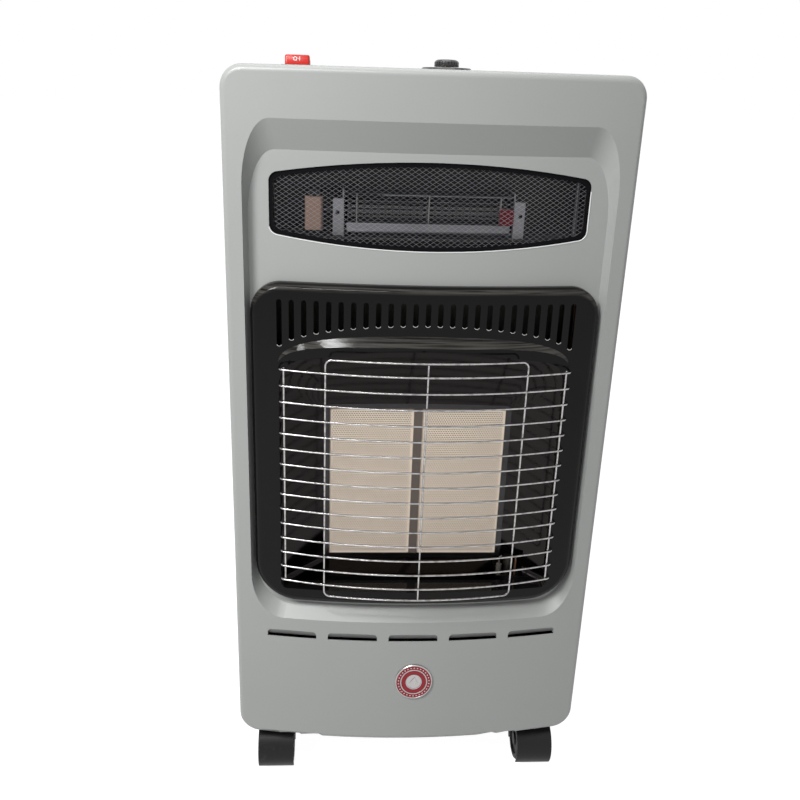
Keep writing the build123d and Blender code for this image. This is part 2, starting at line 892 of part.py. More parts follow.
def mixing_tube():
    """Venturi tube with a bell mouth over the injector."""
    top = frame_low() + frame_rim + box_inset + 3
    neck = mixing_bottom + 30
    outer = [
        (0, mixing_bottom),
        (mixing_bell_radius, mixing_bottom),
        (mixing_radius - 1.5, neck),
        (mixing_radius, neck + 25),
        (mixing_radius, top),
        (0, top),
    ]
    inner = [(max(r - mixing_wall, 0), z) for r, z in outer]
    inner[0] = (0, mixing_bottom - 1)
    inner[1] = (mixing_bell_radius - mixing_wall, mixing_bottom - 1)
    inner[-2] = (mixing_radius - mixing_wall, top + 1)
    inner[-1] = (0, top + 1)
    shell = turned(outer) - turned(inner)
    return Pos(0, mixing_line, 0) * shell


def turned(points):
    """Solid of revolution about Z from (radius, height) points."""
    face = Plane.XZ * make_face(Polyline(*points, close=True))
    return revolve(face, Axis.Z)


def injector():
    """Brass jet below the mixing tube, held in the bracket of the heat shield."""
    top = mixing_bottom - injector_space
    low = top - injector_height
    points = [(0, low), (injector_radius, low), (injector_radius, top - 6), (2, top), (0, top)]
    body = turned(points)
    nut = Pos(0, 0, low + 4) * extrude(RegularPolygon(injector_radius + 2.5, 6), 6)
    return Pos(0, mixing_line, 0) * (body + nut - Cylinder(0.6, 400))


def bracket_top():
    return mixing_bottom - injector_space - injector_height + 4 - gap


def pilot_burner():
    low = opening_bottom - 6
    high = burner_bottom + 4
    body = rod((pilot_x, pilot_y, low), (pilot_x, pilot_y, high), 3.5)
    body = body + rod((pilot_x, pilot_y, high - 9), (pilot_x, pilot_y, high), 5)
    body = body - block((pilot_x - 9, pilot_x), (pilot_y - 1, pilot_y + 1), (high - 6, high - 3))
    level = low + 4, low + 5.5
    plate = block((pilot_x - 13, pilot_x + 13), (pilot_y - 5, pilot_y + 7), level)
    tail_x = pilot_x - 13, pilot_x - 5
    tail = block(tail_x, (pilot_y + 5.5, burner_face + 3), level)
    riser = block(tail_x, (burner_face + 1.5, burner_face + 3), (low + 4, frame_low() + 4))
    riser = riser - block((0, frame_half() + gap), (0, far), (frame_low() - gap, far))
    pilot = body + plate + tail + riser
    for x, radius in ((pilot_x - pilot_reach, electrode_radius), (pilot_x + pilot_reach, probe_radius)):
        pilot = pilot - rod((x, pilot_y, low), (x, pilot_y, high), radius + run_fit)
    return pilot


def ignition_electrode():
    """Ceramic rod with a spark pin that leans towards the pilot head."""
    low = opening_bottom - 12
    high = burner_bottom - 6
    x = pilot_x - pilot_reach
    ceramic = rod((x, pilot_y, low), (x, pilot_y, high), electrode_radius)
    pin = rod((x, pilot_y, high - 1), (x, pilot_y, burner_bottom + 2), 0.8)
    tip = rod((x, pilot_y, burner_bottom + 2), (x + 2.6, pilot_y, burner_bottom + 4), 0.8)
    return ceramic + pin + tip


def thermocouple():
    """Sensing tip beside the pilot and its copper lead up to the valve."""
    x = pilot_x + pilot_reach
    low = opening_bottom - 10
    tip = rod((x, pilot_y, low), (x, pilot_y, burner_bottom + 3), probe_radius)
    port = valve_ports()["thermocouple"]
    points = [
        (x, pilot_y, low),
        (x, pilot_y, low - 16),
        (thermo_line, pipe_line, low - 16),
        (thermo_line, pipe_line, port[2]),
        (port[0] + 30, port[1], port[2]),
        port,
    ]
    return tip + pipe(points, lead_radius, pipe_bend / 2)


def pilot_pipe():
    low = opening_bottom - 6 - gap
    port = valve_ports()["pilot"]
    points = [
        (pilot_x, pilot_y, low),
        (pilot_x, pilot_y, low - 26),
        (pilot_line, pipe_line, low - 26),
        (pilot_line, pipe_line, port[2]),
        (port[0] + 30, port[1], port[2]),
        port,
    ]
    return pipe(points, pilot_pipe_radius, pipe_bend * 0.7)


def ignition_lead():
    """Insulated lead from the electrode up to the spark unit in the valve."""
    x = pilot_x - pilot_reach
    low = opening_bottom - 12 - gap
    port = valve_ports()["spark"]
    points = [
        (x, pilot_y, low),
        (x, pilot_y, low - 26),
        (spark_line, pipe_line, low - 26),
        (spark_line, pipe_line, port[2]),
        (port[0] + 30, port[1], port[2]),
        port,
    ]
    return pipe(points, lead_radius, pipe_bend / 2)


# ---- Gas valve, pipes and hose tail ----
def valve_base():
    return cabinet_top - cabinet_sheet - gap - valve_neck - valve_height


def valve_ports():
    """Where the pipes meet the valve block."""
    right = knob_x + valve_width / 2 + gap
    left = knob_x - valve_width / 2 - gap
    low = valve_base()
    return {
        "burner": (left, knob_y + 8, low + 10),
        "pilot": (right, knob_y + 8, low + 8),
        "thermocouple": (right, knob_y + 8, low + 17),
        "spark": (right, knob_y + 8, low + 26),
        "inlet": (knob_x, knob_y + valve_depth / 2 + gap, low + 14),
    }


def gas_valve():
    """Valve block with a neck that hangs under the top panel."""
    low = valve_base()
    x = (knob_x - valve_width / 2, knob_x + valve_width / 2)
    y = (knob_y - valve_depth / 2, knob_y + valve_depth / 2)
    body = block(x, y, (low, low + valve_height))
    body = chamfer(body.edges().filter_by(Axis.Z), 3)
    neck_top = low + valve_height + valve_neck
    neck = rod((knob_x, knob_y, low), (knob_x, knob_y, neck_top), valve_neck_radius)
    flange = block((x[0] + 2, x[1] - 2), (knob_y - 8, knob_y + 8), (neck_top - 2, neck_top))
    floor = neck_top - collar_length - 2
    collar_well = rod((knob_x, knob_y, floor), (knob_x, knob_y, far), collar_radius + run_fit)
    deep = spindle_bottom - knob_travel - 1
    bore = rod((knob_x, knob_y, deep), (knob_x, knob_y, neck_top + 1), spindle_radius + run_fit)
    return body + neck + flange - collar_well - bore


def burner_pipe():
    """Main gas pipe from the valve, down beside the burner, to the injector."""
    port = valve_ports()["burner"]
    low = bracket_top() - cabinet_sheet - 16
    end = mixing_bottom - injector_space - injector_height - gap
    points = [
        port,
        (port[0] - 30, port[1], port[2]),
        (pipe_left, pipe_line, port[2]),
        (pipe_left, mixing_line, low),
        (0, mixing_line, low),
        (0, mixing_line, end),
    ]
    return pipe(points, pipe_radius, pipe_bend)


def inlet_pipe():
    port = valve_ports()["inlet"]
    points = [
        port,
        (port[0], hose_tail_y, port[2]),
        (hose_tail_x, hose_tail_y, port[2]),
        (hose_tail_x, hose_tail_y, hose_tail_top() + gap),
    ]
    return pipe(points, pipe_radius, pipe_bend)


def hose_tail_top():
    return valve_base() - 6


def hose_tail():
    """Brass nozzle that takes the gas hose, pointing down into the cylinder bay."""
    top = hose_tail_top()
    nut = Pos(0, 0, top - 10) * extrude(RegularPolygon(9, 6), 10)
    stem = rod((0, 0, top - 10 - hose_tail_length), (0, 0, top - 10), hose_tail_radius)
    stem = chamfer(stem.faces().sort_by(Axis.Z)[0].edges(), 0.6)
    bore = rod((0, 0, 0), (0, 0, far), hose_tail_bore)
    return Pos(hose_tail_x, hose_tail_y, 0) * (nut + stem - bore)


# ---- Controls ----
def knob_bezel():
    """Dial plate round the control knob."""
    low, high = cabinet_top, cabinet_top + bezel_height
    ring = rod((knob_x, knob_y, low), (knob_x, knob_y, high), bezel_radius)
    ring = chamfer(ring.faces().sort_by(Axis.Z)[-1].edges(), 1.2)
    hole = rod((knob_x, knob_y, low - 1), (knob_x, knob_y, high + 1), knob_radius + 3 * gap)
    return ring - hole


def control_knob():
    """Fluted knob with a pointer bar on top."""
    body = rod((0, 0, knob_bottom), (0, 0, knob_top), knob_radius)
    body = chamfer(body.faces().sort_by(Axis.Z)[-1].edges(), 3.2, 2.4)
    flute_x = knob_radius + 0.5
    flute = rod((flute_x, 0, 0), (flute_x, 0, knob_top), knob_flute_radius)
    for index in range(knob_flutes):
        body = body - Rot(0, 0, 360 / knob_flutes * index) * flute
    bar = block((-1.2, 1.2), (-knob_radius + 3, -2), (knob_top - 1, knob_top))
    body = body - bar
    bore = rod((0, 0, knob_bottom - 1), (0, 0, knob_bottom + 4.5), spindle_radius + run_fit)
    return Pos(knob_x, knob_y, 0) * (body - bore)


def valve_spindle():
    return rod((knob_x, knob_y, spindle_bottom), (knob_x, knob_y, knob_bottom + 4), spindle_radius)


def spindle_collar():
    """Cam collar that the spindle slides through and that turns in the valve's neck."""
    top = cabinet_top - cabinet_sheet - 2 * gap
    ring = rod((knob_x, knob_y, top - collar_length), (knob_x, knob_y, top), collar_radius)
    return ring - rod((knob_x, knob_y, 0), (knob_x, knob_y, far), spindle_radius + run_fit)


def switch_body():
    """Housing of the rocker switch, clipped into the top panel."""
    half_x = rocker_width / 2 + gap + switch_wall
    half_y = rocker_radius + gap + switch_wall
    top = cabinet_top + switch_bezel
    body = block((-half_x, half_x), (-half_y, half_y), (top - switch_body_depth, cabinet_top))
    rim = block((-half_x - 1.5, half_x + 1.5), (-half_y - 1.5, half_y + 1.5), (cabinet_top, top))
    rim = chamfer(rim.faces().sort_by(Axis.Z)[-1].edges(), 1)
    half_well = rocker_width / 2 + gap
    well = rod((-half_well, 0, pivot_z), (half_well, 0, pivot_z), rocker_radius + gap)
    mouth = block((-half_well, half_well), (-rocker_radius - gap, rocker_radius + gap), (pivot_z, top + 9))
    seat = half_well + 1.2
    pivot = rod((-seat, 0, pivot_z), (seat, 0, pivot_z), trunnion_radius + run_fit)
    low = top - switch_body_depth
    body = body + rim - well - mouth - pivot
    for x in (-7, 7):
        body = body + block((x - 0.4, x + 0.4), (-3, 3), (low - 7, low))
    return Pos(switch_x, switch_y, 0) * body


def switch_rocker():
    """Rocker tilted to its off position, with the front end up."""
    half = rocker_width / 2
    profile = make_face(
        Polyline(
            (-rocker_radius, 0),
            (-rocker_radius + rocker_lean, rocker_height),
            (0, rocker_height - rocker_dish),
            (rocker_radius - rocker_lean, rocker_height),
            (rocker_radius, 0),
            close=True,
        )
    )
    lobe = rod((-half, 0, 0), (half, 0, 0), rocker_radius)
    lobe = lobe & block((-half, half), (-far, far), (-rocker_keel, 0))
    body = along_x(profile, -half, half) + lobe
    body = fillet(body.edges().filter_by(Axis.X).group_by(Axis.Z)[-1], 1.2)
    reach = half + gap + 1
    body = body + rod((-reach, 0, 0), (reach, 0, 0), trunnion_radius)
    return Pos(switch_x, switch_y, pivot_z) * Rot(-rocker_tilt, 0, 0) * body


# ---- Fan heater module ----
def fan_housing():
    """Scroll round the rotor that opens forwards between the two lips."""
    wall = 1.2
    outer = Pos(fan_y, fan_z) * Circle(fan_housing_radius + wall)
    inner = Pos(fan_y, fan_z) * Circle(fan_housing_radius)
    middle = (outlet_top + outlet_bottom) / 2
    height = outlet_top - outlet_bottom
    channel_middle = (outlet_front + fan_y) / 2
    channel = fan_y - outlet_front
    outer += Pos(channel_middle, middle) * Rectangle(channel, height + 2 * wall)
    inner += Pos(channel_middle - 1, middle) * Rectangle(channel + 2, height)
    inlet = Pos(fan_y + fan_housing_radius, fan_z + fan_housing_radius) * Rectangle(24, 24)
    shell = along_x(outer - inner - inlet, -fan_housing_half, fan_housing_half)
    lip = block(
        (-fan_housing_half, fan_housing_half),
        (outlet_front, outlet_front + wall),
        (outlet_bottom - outlet_lip, outlet_bottom - wall / 2),
    )
    return shell + lip


def fan_end_plates():
    """Two upright plates that carry the shaft, each with a flange facing forwards."""
    wall = cabinet_sheet
    depth, height = (shelf_front, end_plate_back), (end_plate_bottom, end_plate_top)
    plate = block((end_plate_x, end_plate_x + wall), depth, height)
    plate = plate - block((0, far), (0, shelf_front + 4), (end_flange_top, far))
    wide = end_plate_x, end_plate_x + end_flange
    flange = block(wide, (shelf_front, shelf_front + wall), (end_flange_bottom, end_flange_top))
    flange = fillet(flange.edges().filter_by(Axis.Y).group_by(Axis.X)[-1], 1.5)
    foot = block(wide, end_foot, (end_plate_bottom, end_plate_bottom + wall))
    hole_x = end_plate_x + end_flange / 2 + 1
    hole_z = end_flange_top - 13
    hole = rod((hole_x, shelf_front - 9, hole_z), (hole_x, shelf_front + 9, hole_z), end_hole)
    bearing = rod((end_plate_x, fan_y, fan_z), (end_plate_x + 4, fan_y, fan_z), fan_shaft + 3)
    bore = rod((0, fan_y, fan_z), (far, fan_y, fan_z), fan_shaft + run_fit)
    right = plate + flange + foot + bearing - hole - bore
    return [right, mirrored(right)]


def fan_rotor():
    """Bladed drum on its shaft, with the motor's own rotor at the left end."""
    drum = rod((core_left - 6, 0, 0), (end_plate_x + 6, 0, 0), fan_shaft)
    for x in (-fan_half_length, -0.6, fan_half_length - 1.2):
        drum += rod((x, 0, 0), (x + 1.2, 0, 0), fan_rotor_radius)
    blade_root, blade_tip = fan_rotor_radius - 4.5, fan_rotor_radius - 0.3
    blade = block((-fan_half_length, fan_half_length), (-0.5, 0.5), (blade_root, blade_tip))
    for index in range(fan_blades):
        drum += Rot(360 / fan_blades * index, 0, 0) * blade
    drum += rod((core_left, 0, 0), (core_left + core_thickness, 0, 0), motor_rotor_radius)
    return Pos(0, fan_y, fan_z) * drum


def fan_motor_core():
    """Laminated core round the motor's rotor, on two spacers from the left end plate."""
    low = fan_z - core_height / 2
    high = fan_z + core_height / 2
    right = core_left + core_thickness
    body_front = fan_y - core_bore - 3
    body = block((core_left, right), (body_front, fan_y + core_bore + 5), (low, high))
    leg = block((core_left, right), (core_leg_front, core_leg_front + core_leg), (low, high))
    yokes = block((core_left, right), (core_leg_front, fan_y), (low, low + core_yoke))
    yokes = yokes + block((core_left, right), (core_leg_front, fan_y), (high - core_yoke, high))
    core = body + leg + yokes - rod((core_left - 9, fan_y, fan_z), (right + 9, fan_y, fan_z), core_bore)
    for y, z in ((fan_y + 12, high - 4), (fan_y - 10, low + 3)):
        core += rod((right, y, z), (-end_plate_x - cabinet_sheet - gap, y, z), 2.5)
    return core


def fan_motor_coil():
    """Taped winding on the core's front leg."""
    space = 0.15
    low = fan_z - core_height / 2 + core_yoke + space
    high = fan_z + core_height / 2 - core_yoke - space
    right = core_left + core_thickness
    back = core_leg_front + core_leg
    front = core_leg_front - coil_build
    coil = block((core_left - coil_build, right + coil_build), (front, back + coil_build), (low, high))
    coil = fillet(coil.edges().filter_by(Axis.Z), 3)
    return coil - block((core_left - space, right + space), (core_leg_front - space, back + space), (0, far))


def element_levels():
    middle = (outlet_top + outlet_bottom) / 2
    return [middle + (index - (element_wires - 1) / 2) * element_pitch for index in range(element_wires)]


def element_cards():
    """Three mica cards that carry the heating wires."""
    cards = []
    wire_y = (card_front + card_back) / 2
    for x in (-card_x, 0, card_x):
        half = card_thickness / 2
        card = block((x - half, x + half), (card_front, card_back), (outlet_bottom + gap, outlet_top - gap))
        for z in element_levels():
            card = card - rod((x - 9, wire_y, z), (x + 9, wire_y, z), element_wire_radius + run_fit)
        cards.append(card)
    return cards


def heating_element():
    """Straight envelopes of the wound heating wires."""
    half = fan_housing_half
    wire_y = (card_front + card_back) / 2
    return [rod((-half, wire_y, z), (half, wire_y, z), element_wire_radius) for z in element_levels()]


def thermal_cutout():
    left, right = end_plate_x - 13.5, end_plate_x - gap
    depth = outlet_front - 6, outlet_front - 1
    body = block((left, right), depth, (outlet_bottom + gap, outlet_bottom + 15))
    return fillet(body.edges().filter_by(Axis.Y), 1.5)


# ---- Cabinet ----
def screw_places():
    """Side, depth and height of the screws through the side panels."""
    low = floor_top + floor_upstand / 2
    high = cap_bottom - cap_flange / 2
    return [(sign, y, z) for sign in (-1, 1) for y in screw_depths for z in (low, high)]


def screw_cutters():
    inside = cabinet_half - 9
    cutters = []
    for sign, y, z in screw_places():
        cutters.append(rod((sign * inside, y, z), (sign * (cabinet_half + 9), y, z), screw_radius + run_fit))
    return cutters


def cabinet_screws():
    """Pan-head screws that hold the side panels."""
    screws = []
    for sign, y, z in screw_places():
        face = sign * cabinet_half
        shank = rod((face - sign * screw_length, y, z), (face, y, z), screw_radius)
        head = rod((face, y, z), (face + sign * screw_head, y, z), screw_head_radius)
        head = chamfer(head.faces().sort_by(Axis.X)[-1 if sign > 0 else 0].edges(), 0.7)
        screws.append(shank + head)
    return screws


def cut_for_panel(solid):
    """Clears the rounded corners of the front panel, which the cabinet's front edge stands in."""
    inset = panel_sheet + cabinet_clear
    corners = panel_top_corner - inset, panel_bottom_corner - inset
    outline = rounded(cabinet_half, panel_bottom + inset, cabinet_top, *corners)
    depth = (0, panel_return + gap)
    zone = block((-panel_width, panel_width), depth, (0, 2 * panel_top))
    return solid - (zone - through(outline, *depth))


def right_side_panel():
    outer, inner = cabinet_half, cabinet_half - cabinet_sheet
    z = (side_bottom, cap_bottom - gap)
    side = block((inner, outer), (cabinet_front, cabinet_back), z)
    side += block((outer - side_flange, outer), (cabinet_front, cabinet_front + cabinet_sheet), z)
    side += block((outer - side_flange, outer), (cabinet_back - cabinet_sheet, cabinet_back), z)
    for index in range(side_slot_count):
        level = side_slot_bottom + index * side_slot_pitch
        slot = SlotOverall(side_slot_length, side_slot_height)
        side = side - along_x(Pos(side_slot_middle, level) * slot, inner - 1, outer + 1)
    for cutter in screw_cutters():
        side = side - cutter
    return cut_for_panel(side)


def left_side_panel():
    """The right panel's mirror image, notched for the door's two tabs."""
    side = mirrored(right_side_panel())
    low = (floor_top - floor_plate - gap, floor_top + gap)
    high = (header_low - gap, header_low + cabinet_sheet + gap)
    for z in (low, high):
        side = side - block((-inner_half - gap, 0), (cabinet_back - cabinet_sheet - gap, cabinet_back + 1), z)
    return side


def cap_face(inset):
    """Front-view outline of the cabinet's top with its rounded shoulders."""
    half, top = cabinet_half - inset, cabinet_top - inset
    low = cap_bottom - inset
    face = make_face(Polyline((-half, low), (half, low), (half, top), (-half, top), close=True))
    return fillet(face.vertices().group_by(Axis.Y)[-1], shoulder - inset)


def top_panel():
    """Cap with rounded shoulders and flanges that sit inside the side panels."""
    wall = cabinet_sheet
    top = through(cap_face(0) - cap_face(wall), cabinet_front, cabinet_back)
    for sign in (-1, 1):
        flange = (sign * inner_half, sign * (inner_half - wall))
        step = (sign * (cabinet_half - wall / 2), sign * (inner_half - wall))
        depth = (cabinet_front + wall + gap, cabinet_back - wall - gap)
        top += block(flange, depth, (cap_bottom - cap_flange, cap_bottom + wall))
        top += block(step, depth, (cap_bottom, cap_bottom + wall))
    back = (cabinet_back - wall, cabinet_back)
    half = cabinet_half - shoulder
    top += block((-half, half), back, (cabinet_top - cap_back_flange, cabinet_top - wall / 2))
    top = top - rod((knob_x, knob_y, 0), (knob_x, knob_y, far), spindle_radius + 1.5)
    half_x = rocker_width / 2 + gap + switch_wall + gap / 2
    half_y = rocker_radius + gap + switch_wall + gap / 2
    across, along = (switch_x - half_x, switch_x + half_x), (switch_y - half_y, switch_y + half_y)
    top = top - block(across, along, (0, far))
    for cutter in screw_cutters():
        top = top - cutter
    return cut_for_panel(top)


def castor_places():
    return {
        "front_left": (-castor_x, castor_front),
        "front_right": (castor_x, castor_front),
        "rear_left": (-castor_x, castor_rear),
        "rear_right": (castor_x, castor_rear),
    }


def platform(level):
    """Round step pressed up in the floor where the gas cylinder stands, above one face of the plate."""
    step = Cone(platform_radius + platform_slope, platform_radius, platform_rise)
    return Pos(0, platform_middle, level + platform_rise / 2) * step


def door_tab(front, low, thickness):
    """Ear behind the cabinet for one of the door's pins."""
    across = pivot_x - door_pivot_inset, pivot_x + tab_width
    return block(across, (front, pivot_y + tab_reach), (low, low + thickness))


def base_tray():
    """Floor that the gas cylinder stands on, with turned edges and the door's lower tab."""
    low = floor_top - floor_plate
    wall = cabinet_sheet
    front, back = cabinet_front + wall + gap, cabinet_back - wall - gap
    tray = block((-inner_half, inner_half), (front, back), (low, floor_top))
    tray = tray + platform(floor_top) - platform(low)
    for y in ((front, front + wall), (back - wall, back)):
        tray += block((-inner_half, inner_half), y, (low - floor_lip, low))
    for sign in (-1, 1):
        side = (sign * inner_half, sign * (inner_half - wall))
        tray += block(side, (front, back), (floor_top, floor_top + floor_upstand))
    tray = tray + door_tab(back, low, floor_plate)
    tray = tray - rod((pivot_x, pivot_y, 0), (pivot_x, pivot_y, far), door_pin_radius + run_fit)
    for cutter in screw_cutters():
        tray = tray - cutter
    return cut_for_panel(tray)


def rear_header():
    """Fixed strip across the top of the back, with the door's upper tab."""
    wall = cabinet_sheet
    high = cabinet_top - wall - gap
    back = cabinet_back - wall - gap
    face = back - header_set_back
    half = cabinet_half - shoulder
    strip = block((-half, half), (face - wall, face), (header_low, high))
    ears = block((-inner_half, inner_half), (face - wall, face), (header_low, cap_bottom - cap_flange - gap))
    lip = block((-inner_half, inner_half), (face - wall, back), (header_low, header_low + wall))
    header = strip + ears + lip + door_tab(back, header_low, wall)
    header = header - rod((pivot_x, pivot_y, 0), (pivot_x, pivot_y, far), door_pin_radius + run_fit)
    gland_hole = rod((gland_x, 0, gland_z), (gland_x, far, gland_z), gland_neck_radius + run_fit)
    return header - gland_hole


def heat_shield():
    """Partition between burner and cylinder bay, with the fan shelf and the injector's bracket."""
    wall = cabinet_sheet
    half = inner_half - wall - gap
    plate = block((-half, half), (shield_front, shield_front + wall), (floor_top + gap, shield_top))
    shelf = block((-half, half), (shelf_front, shield_front), (shelf_top - wall, shelf_top))
    around = pipe_line - pipe_notch, pipe_line + pipe_notch
    notches = block((pilot_line - pipe_notch, spark_line + pipe_notch), around, (0, far))
    notches = notches + block((pipe_left - pipe_notch, pipe_left + pipe_notch), around, (0, far))
    top = bracket_top()
    bracket = block((-16, 16), (mixing_line - 12, shield_front), (top - wall, top))
    bracket = bracket - rod((0, mixing_line, 0), (0, mixing_line, far), injector_radius + run_fit)
    tie_z = frame_low() + tie_height
    tie = block((-frame_half(), frame_half()), (burner_back() + gap, shield_front), (tie_z, tie_z + wall))
    return plate + (shelf - notches) + bracket + tie


def burner_back():
    return burner_face + plaque_thickness + gap + box_depth


def rear_door():
    """Shallow tray that closes the back, with rows of slots and a pivot pin at the top and the bottom."""
    front = cabinet_back + 2 * gap
    cut = door_corner_cut
    plan = Polyline(
        (-door_half, front + cut),
        (-door_half + cut, front),
        (door_half, front),
        (door_half, door_back),
        (-door_half, door_back),
        close=True,
    )
    tray = Pos(0, 0, door_bottom) * extrude(make_face(plan), door_top - door_bottom, dir=(0, 0, 1))
    wall = door_sheet
    tray = fillet(tray.edges().filter_by(Axis.Z).group_by(Axis.Y)[-1], 2)
    inner = door_half - wall
    tray = tray - block((-inner, inner), (0, door_back - wall), (door_bottom + wall, door_top - wall))
    for start in (door_slot_bottom, door_slot_bottom + door_slot_gap):
        for row in range(door_slot_rows):
            for column in range(door_slot_columns):
                x = (column - (door_slot_columns - 1) / 2) * door_slot_spacing
                slot = Pos(x, start + row * door_slot_pitch) * SlotOverall(door_slot_length, door_slot_height)
                tray = tray - through(slot, door_back - 2, door_back + 2)
    tray = tray - rod((latch_x, 0, latch_height), (latch_x, far, latch_height), latch_spindle + run_fit)
    pins = ((floor_top - floor_plate - 1, door_bottom + 2), (door_top - 2, header_low + cabinet_sheet + 1))
    for low, high in pins:
        tray = tray + rod((pivot_x, pivot_y, low), (pivot_x, pivot_y, high), door_pin_radius)
    return tray


def door_latch():
    """Quarter-turn latch: bar knob outside, cam inside, standing upright when open."""
    face = door_back + gap
    base = rod((0, face, 0), (0, face + 3, 0), latch_base_radius)
    reach = latch_base_radius
    bar = block((-latch_bar / 2, latch_bar / 2), (face + 3, latch_back), (-reach, reach))
    bar = fillet(bar.edges().filter_by(Axis.Y), 3)
    cam_back = cabinet_back - cabinet_sheet - gap
    spindle = rod((0, cam_back - latch_cam, 0), (0, face, 0), latch_spindle)
    cam = block((-6, 6), (cam_back - latch_cam, cam_back), (-6, latch_cam_length))
    return Pos(latch_x, 0, latch_height) * (base + bar + spindle + cam)


# ---- Castors ----
def hood(x, y):
    """Twin-wheel castor body: shell over the wheels, middle web and stem socket."""
    centre = (y - castor_trail, wheel_radius)
    inside = wheel_radius + hood_gap
    outside = inside + hood_wall
    half = hood_half_width
    shell = rod((x - half, *centre), (x + half, *centre), outside)
    shell = fillet(shell.edges(), hood_wall * 0.7)
    shell = shell - rod((x - far, *centre), (x + far, *centre), inside)
    web = rod((x - wheel_inner + gap, *centre), (x + wheel_inner - gap, *centre), inside + hood_wall / 2)
    body = shell + web
    body = body - block((x - far, x + far), (-far, far), (-far, hood_skirt))
    boss_low = wheel_radius + math.sqrt(inside**2 - (castor_trail - stem_boss) ** 2)
    boss = rod((x, y, wheel_radius), (x, y, boss_top), stem_boss)
    boss = boss - rod((x - far, *centre), (x + far, *centre), inside + hood_wall / 2)
    body = body + boss
    body = body - rod((x, y, boss_low - 6), (x, y, far), stem_radius + run_fit)
    return body - rod((x - far, *centre), (x + far, *centre), axle_radius + run_fit)


def axle(x, y):
    centre = (y - castor_trail, wheel_radius)
    return rod((x - wheel_outer + 3, *centre), (x + wheel_outer - 3, *centre), axle_radius)


def wheels(x, y):
    """The two wheels of a castor, pressed on the ends of its axle."""
    points = [
        (0, wheel_inner),
        (wheel_radius - wheel_round, wheel_inner),
        (wheel_radius, wheel_inner + wheel_round),
        (wheel_radius, wheel_outer - wheel_round),
        (wheel_radius - wheel_round, wheel_outer),
        (wheel_radius - 7, wheel_outer),
        (wheel_radius - 8, wheel_outer - 2),
        (8, wheel_outer - 2),
        (7, wheel_outer),
        (0, wheel_outer),
    ]
    wheel = turned(points)
    wheel = wheel - Pos(0, 0, wheel_inner) * Cylinder(axle_radius, 2 * (wheel_outer - 3 - wheel_inner))
    right = Pos(x, y - castor_trail, wheel_radius) * Rot(0, 90, 0) * wheel
    left = Pos(x, y - castor_trail, wheel_radius) * Rot(0, -90, 0) * wheel
    return [left, right]


def castor_stems():
    """Steel stems under the floor plate, one for each castor."""
    top = floor_top - floor_plate
    inside = wheel_radius + hood_gap
    low = wheel_radius + math.sqrt(inside**2 - (castor_trail - stem_boss) ** 2) - 5
    stems = []
    for x, y in castor_places().values():
        half = stem_plate / 2
        plate = block((x - half + 3, x + half - 3), (y - half, y + half), (top - stem_plate_thickness, top))
        stem = rod((x, y, low), (x, y, top), stem_radius)
        collar = rod((x, y, boss_top + gap), (x, y, top), stem_boss - 1)
        stems.append(plate + stem + collar)
    return stems


# ---- Badge and cord gland ----
def badge():
    """Plain round badge with a raised rim."""
    face = -panel_bow
    disc = rod((badge_x, face - badge_thickness, badge_z), (badge_x, face, badge_z), badge_radius)
    disc = fillet(disc.faces().sort_by(Axis.Y)[0].edges(), 0.8)
    floor = face - badge_thickness + badge_dish
    return disc - rod((badge_x, floor - panel_bow, badge_z), (badge_x, floor, badge_z), badge_radius - badge_rim)


def cord_gland():
    """Bush in the rear header where the mains lead enters."""
    face = cabinet_back - cabinet_sheet - gap - header_set_back
    back = face + gland_length / 2
    flange = rod((gland_x, face + gap / 3, gland_z), (gland_x, back, gland_z), gland_radius)
    neck = rod((gland_x, face - 8, gland_z), (gland_x, face + 1, gland_z), gland_neck_radius)
    bore = rod((gland_x, 0, gland_z), (gland_x, far, gland_z), gland_bore)
    return flange + neck - bore


# ---- Hand over the pieces ----
def save(name, piece):
    """Moves a piece so that the origin lies under the heater's middle, and writes it."""
    solids = piece if isinstance(piece, list) else [piece]
    moved = [Pos(0, -middle_depth, 0) * solid for solid in solids]
    flat = [solid for item in moved for solid in item.solids()]
    shape = flat[0] if len(flat) == 1 else Compound(children=flat)
    shape.label = name
    export_step(shape, os.path.join("parts", name + ".step"))


os.makedirs("parts", exist_ok=True)
pieces = {
    "front_panel": front_panel(),
    "mesh_rim": mesh_rim(),
    "mesh_grille": mesh_grille(),
    "burner_surround": burner_surround(),
    "guard_grille": guard_grille(),
    "reflector_box": reflector_box(),
    "plaque_left": plaque(-1),
    "plaque_right": plaque(1),
    "plaque_divider": plaque_divider(),
    "burner_frame": burner_frame(),
    "burner_box": burner_box(),
    "mixing_tube": mixing_tube(),
    "injector": injector(),
    "pilot_burner": pilot_burner(),
    "ignition_electrode": ignition_electrode(),
    "ignition_lead": ignition_lead(),
    "thermocouple": thermocouple(),
    "pilot_pipe": pilot_pipe(),
    "burner_pipe": burner_pipe(),
    "inlet_pipe": inlet_pipe(),
    "hose_tail": hose_tail(),
    "gas_valve": gas_valve(),
    "spindle_collar": spindle_collar(),
    "valve_spindle": valve_spindle(),
    "control_knob": control_knob(),
    "knob_bezel": knob_bezel(),
    "switch_body": switch_body(),
    "switch_rocker": switch_rocker(),
    "fan_housing": fan_housing(),
    "fan_end_plates": fan_end_plates(),
    "fan_rotor": fan_rotor(),
    "fan_motor_core": fan_motor_core(),
    "fan_motor_coil": fan_motor_coil(),
    "element_cards": element_cards(),
    "heating_element": heating_element(),
    "thermal_cutout": thermal_cutout(),
    "right_side_panel": right_side_panel(),
    "left_side_panel": left_side_panel(),
    "top_panel": top_panel(),
    "base_tray": base_tray(),
    "rear_header": rear_header(),
    "heat_shield": heat_shield(),
    "rear_door": rear_door(),
    "door_latch": door_latch(),
    "cabinet_screws": cabinet_screws(),
    "castor_stems": castor_stems(),
    "badge": badge(),
    "cord_gland": cord_gland(),
}
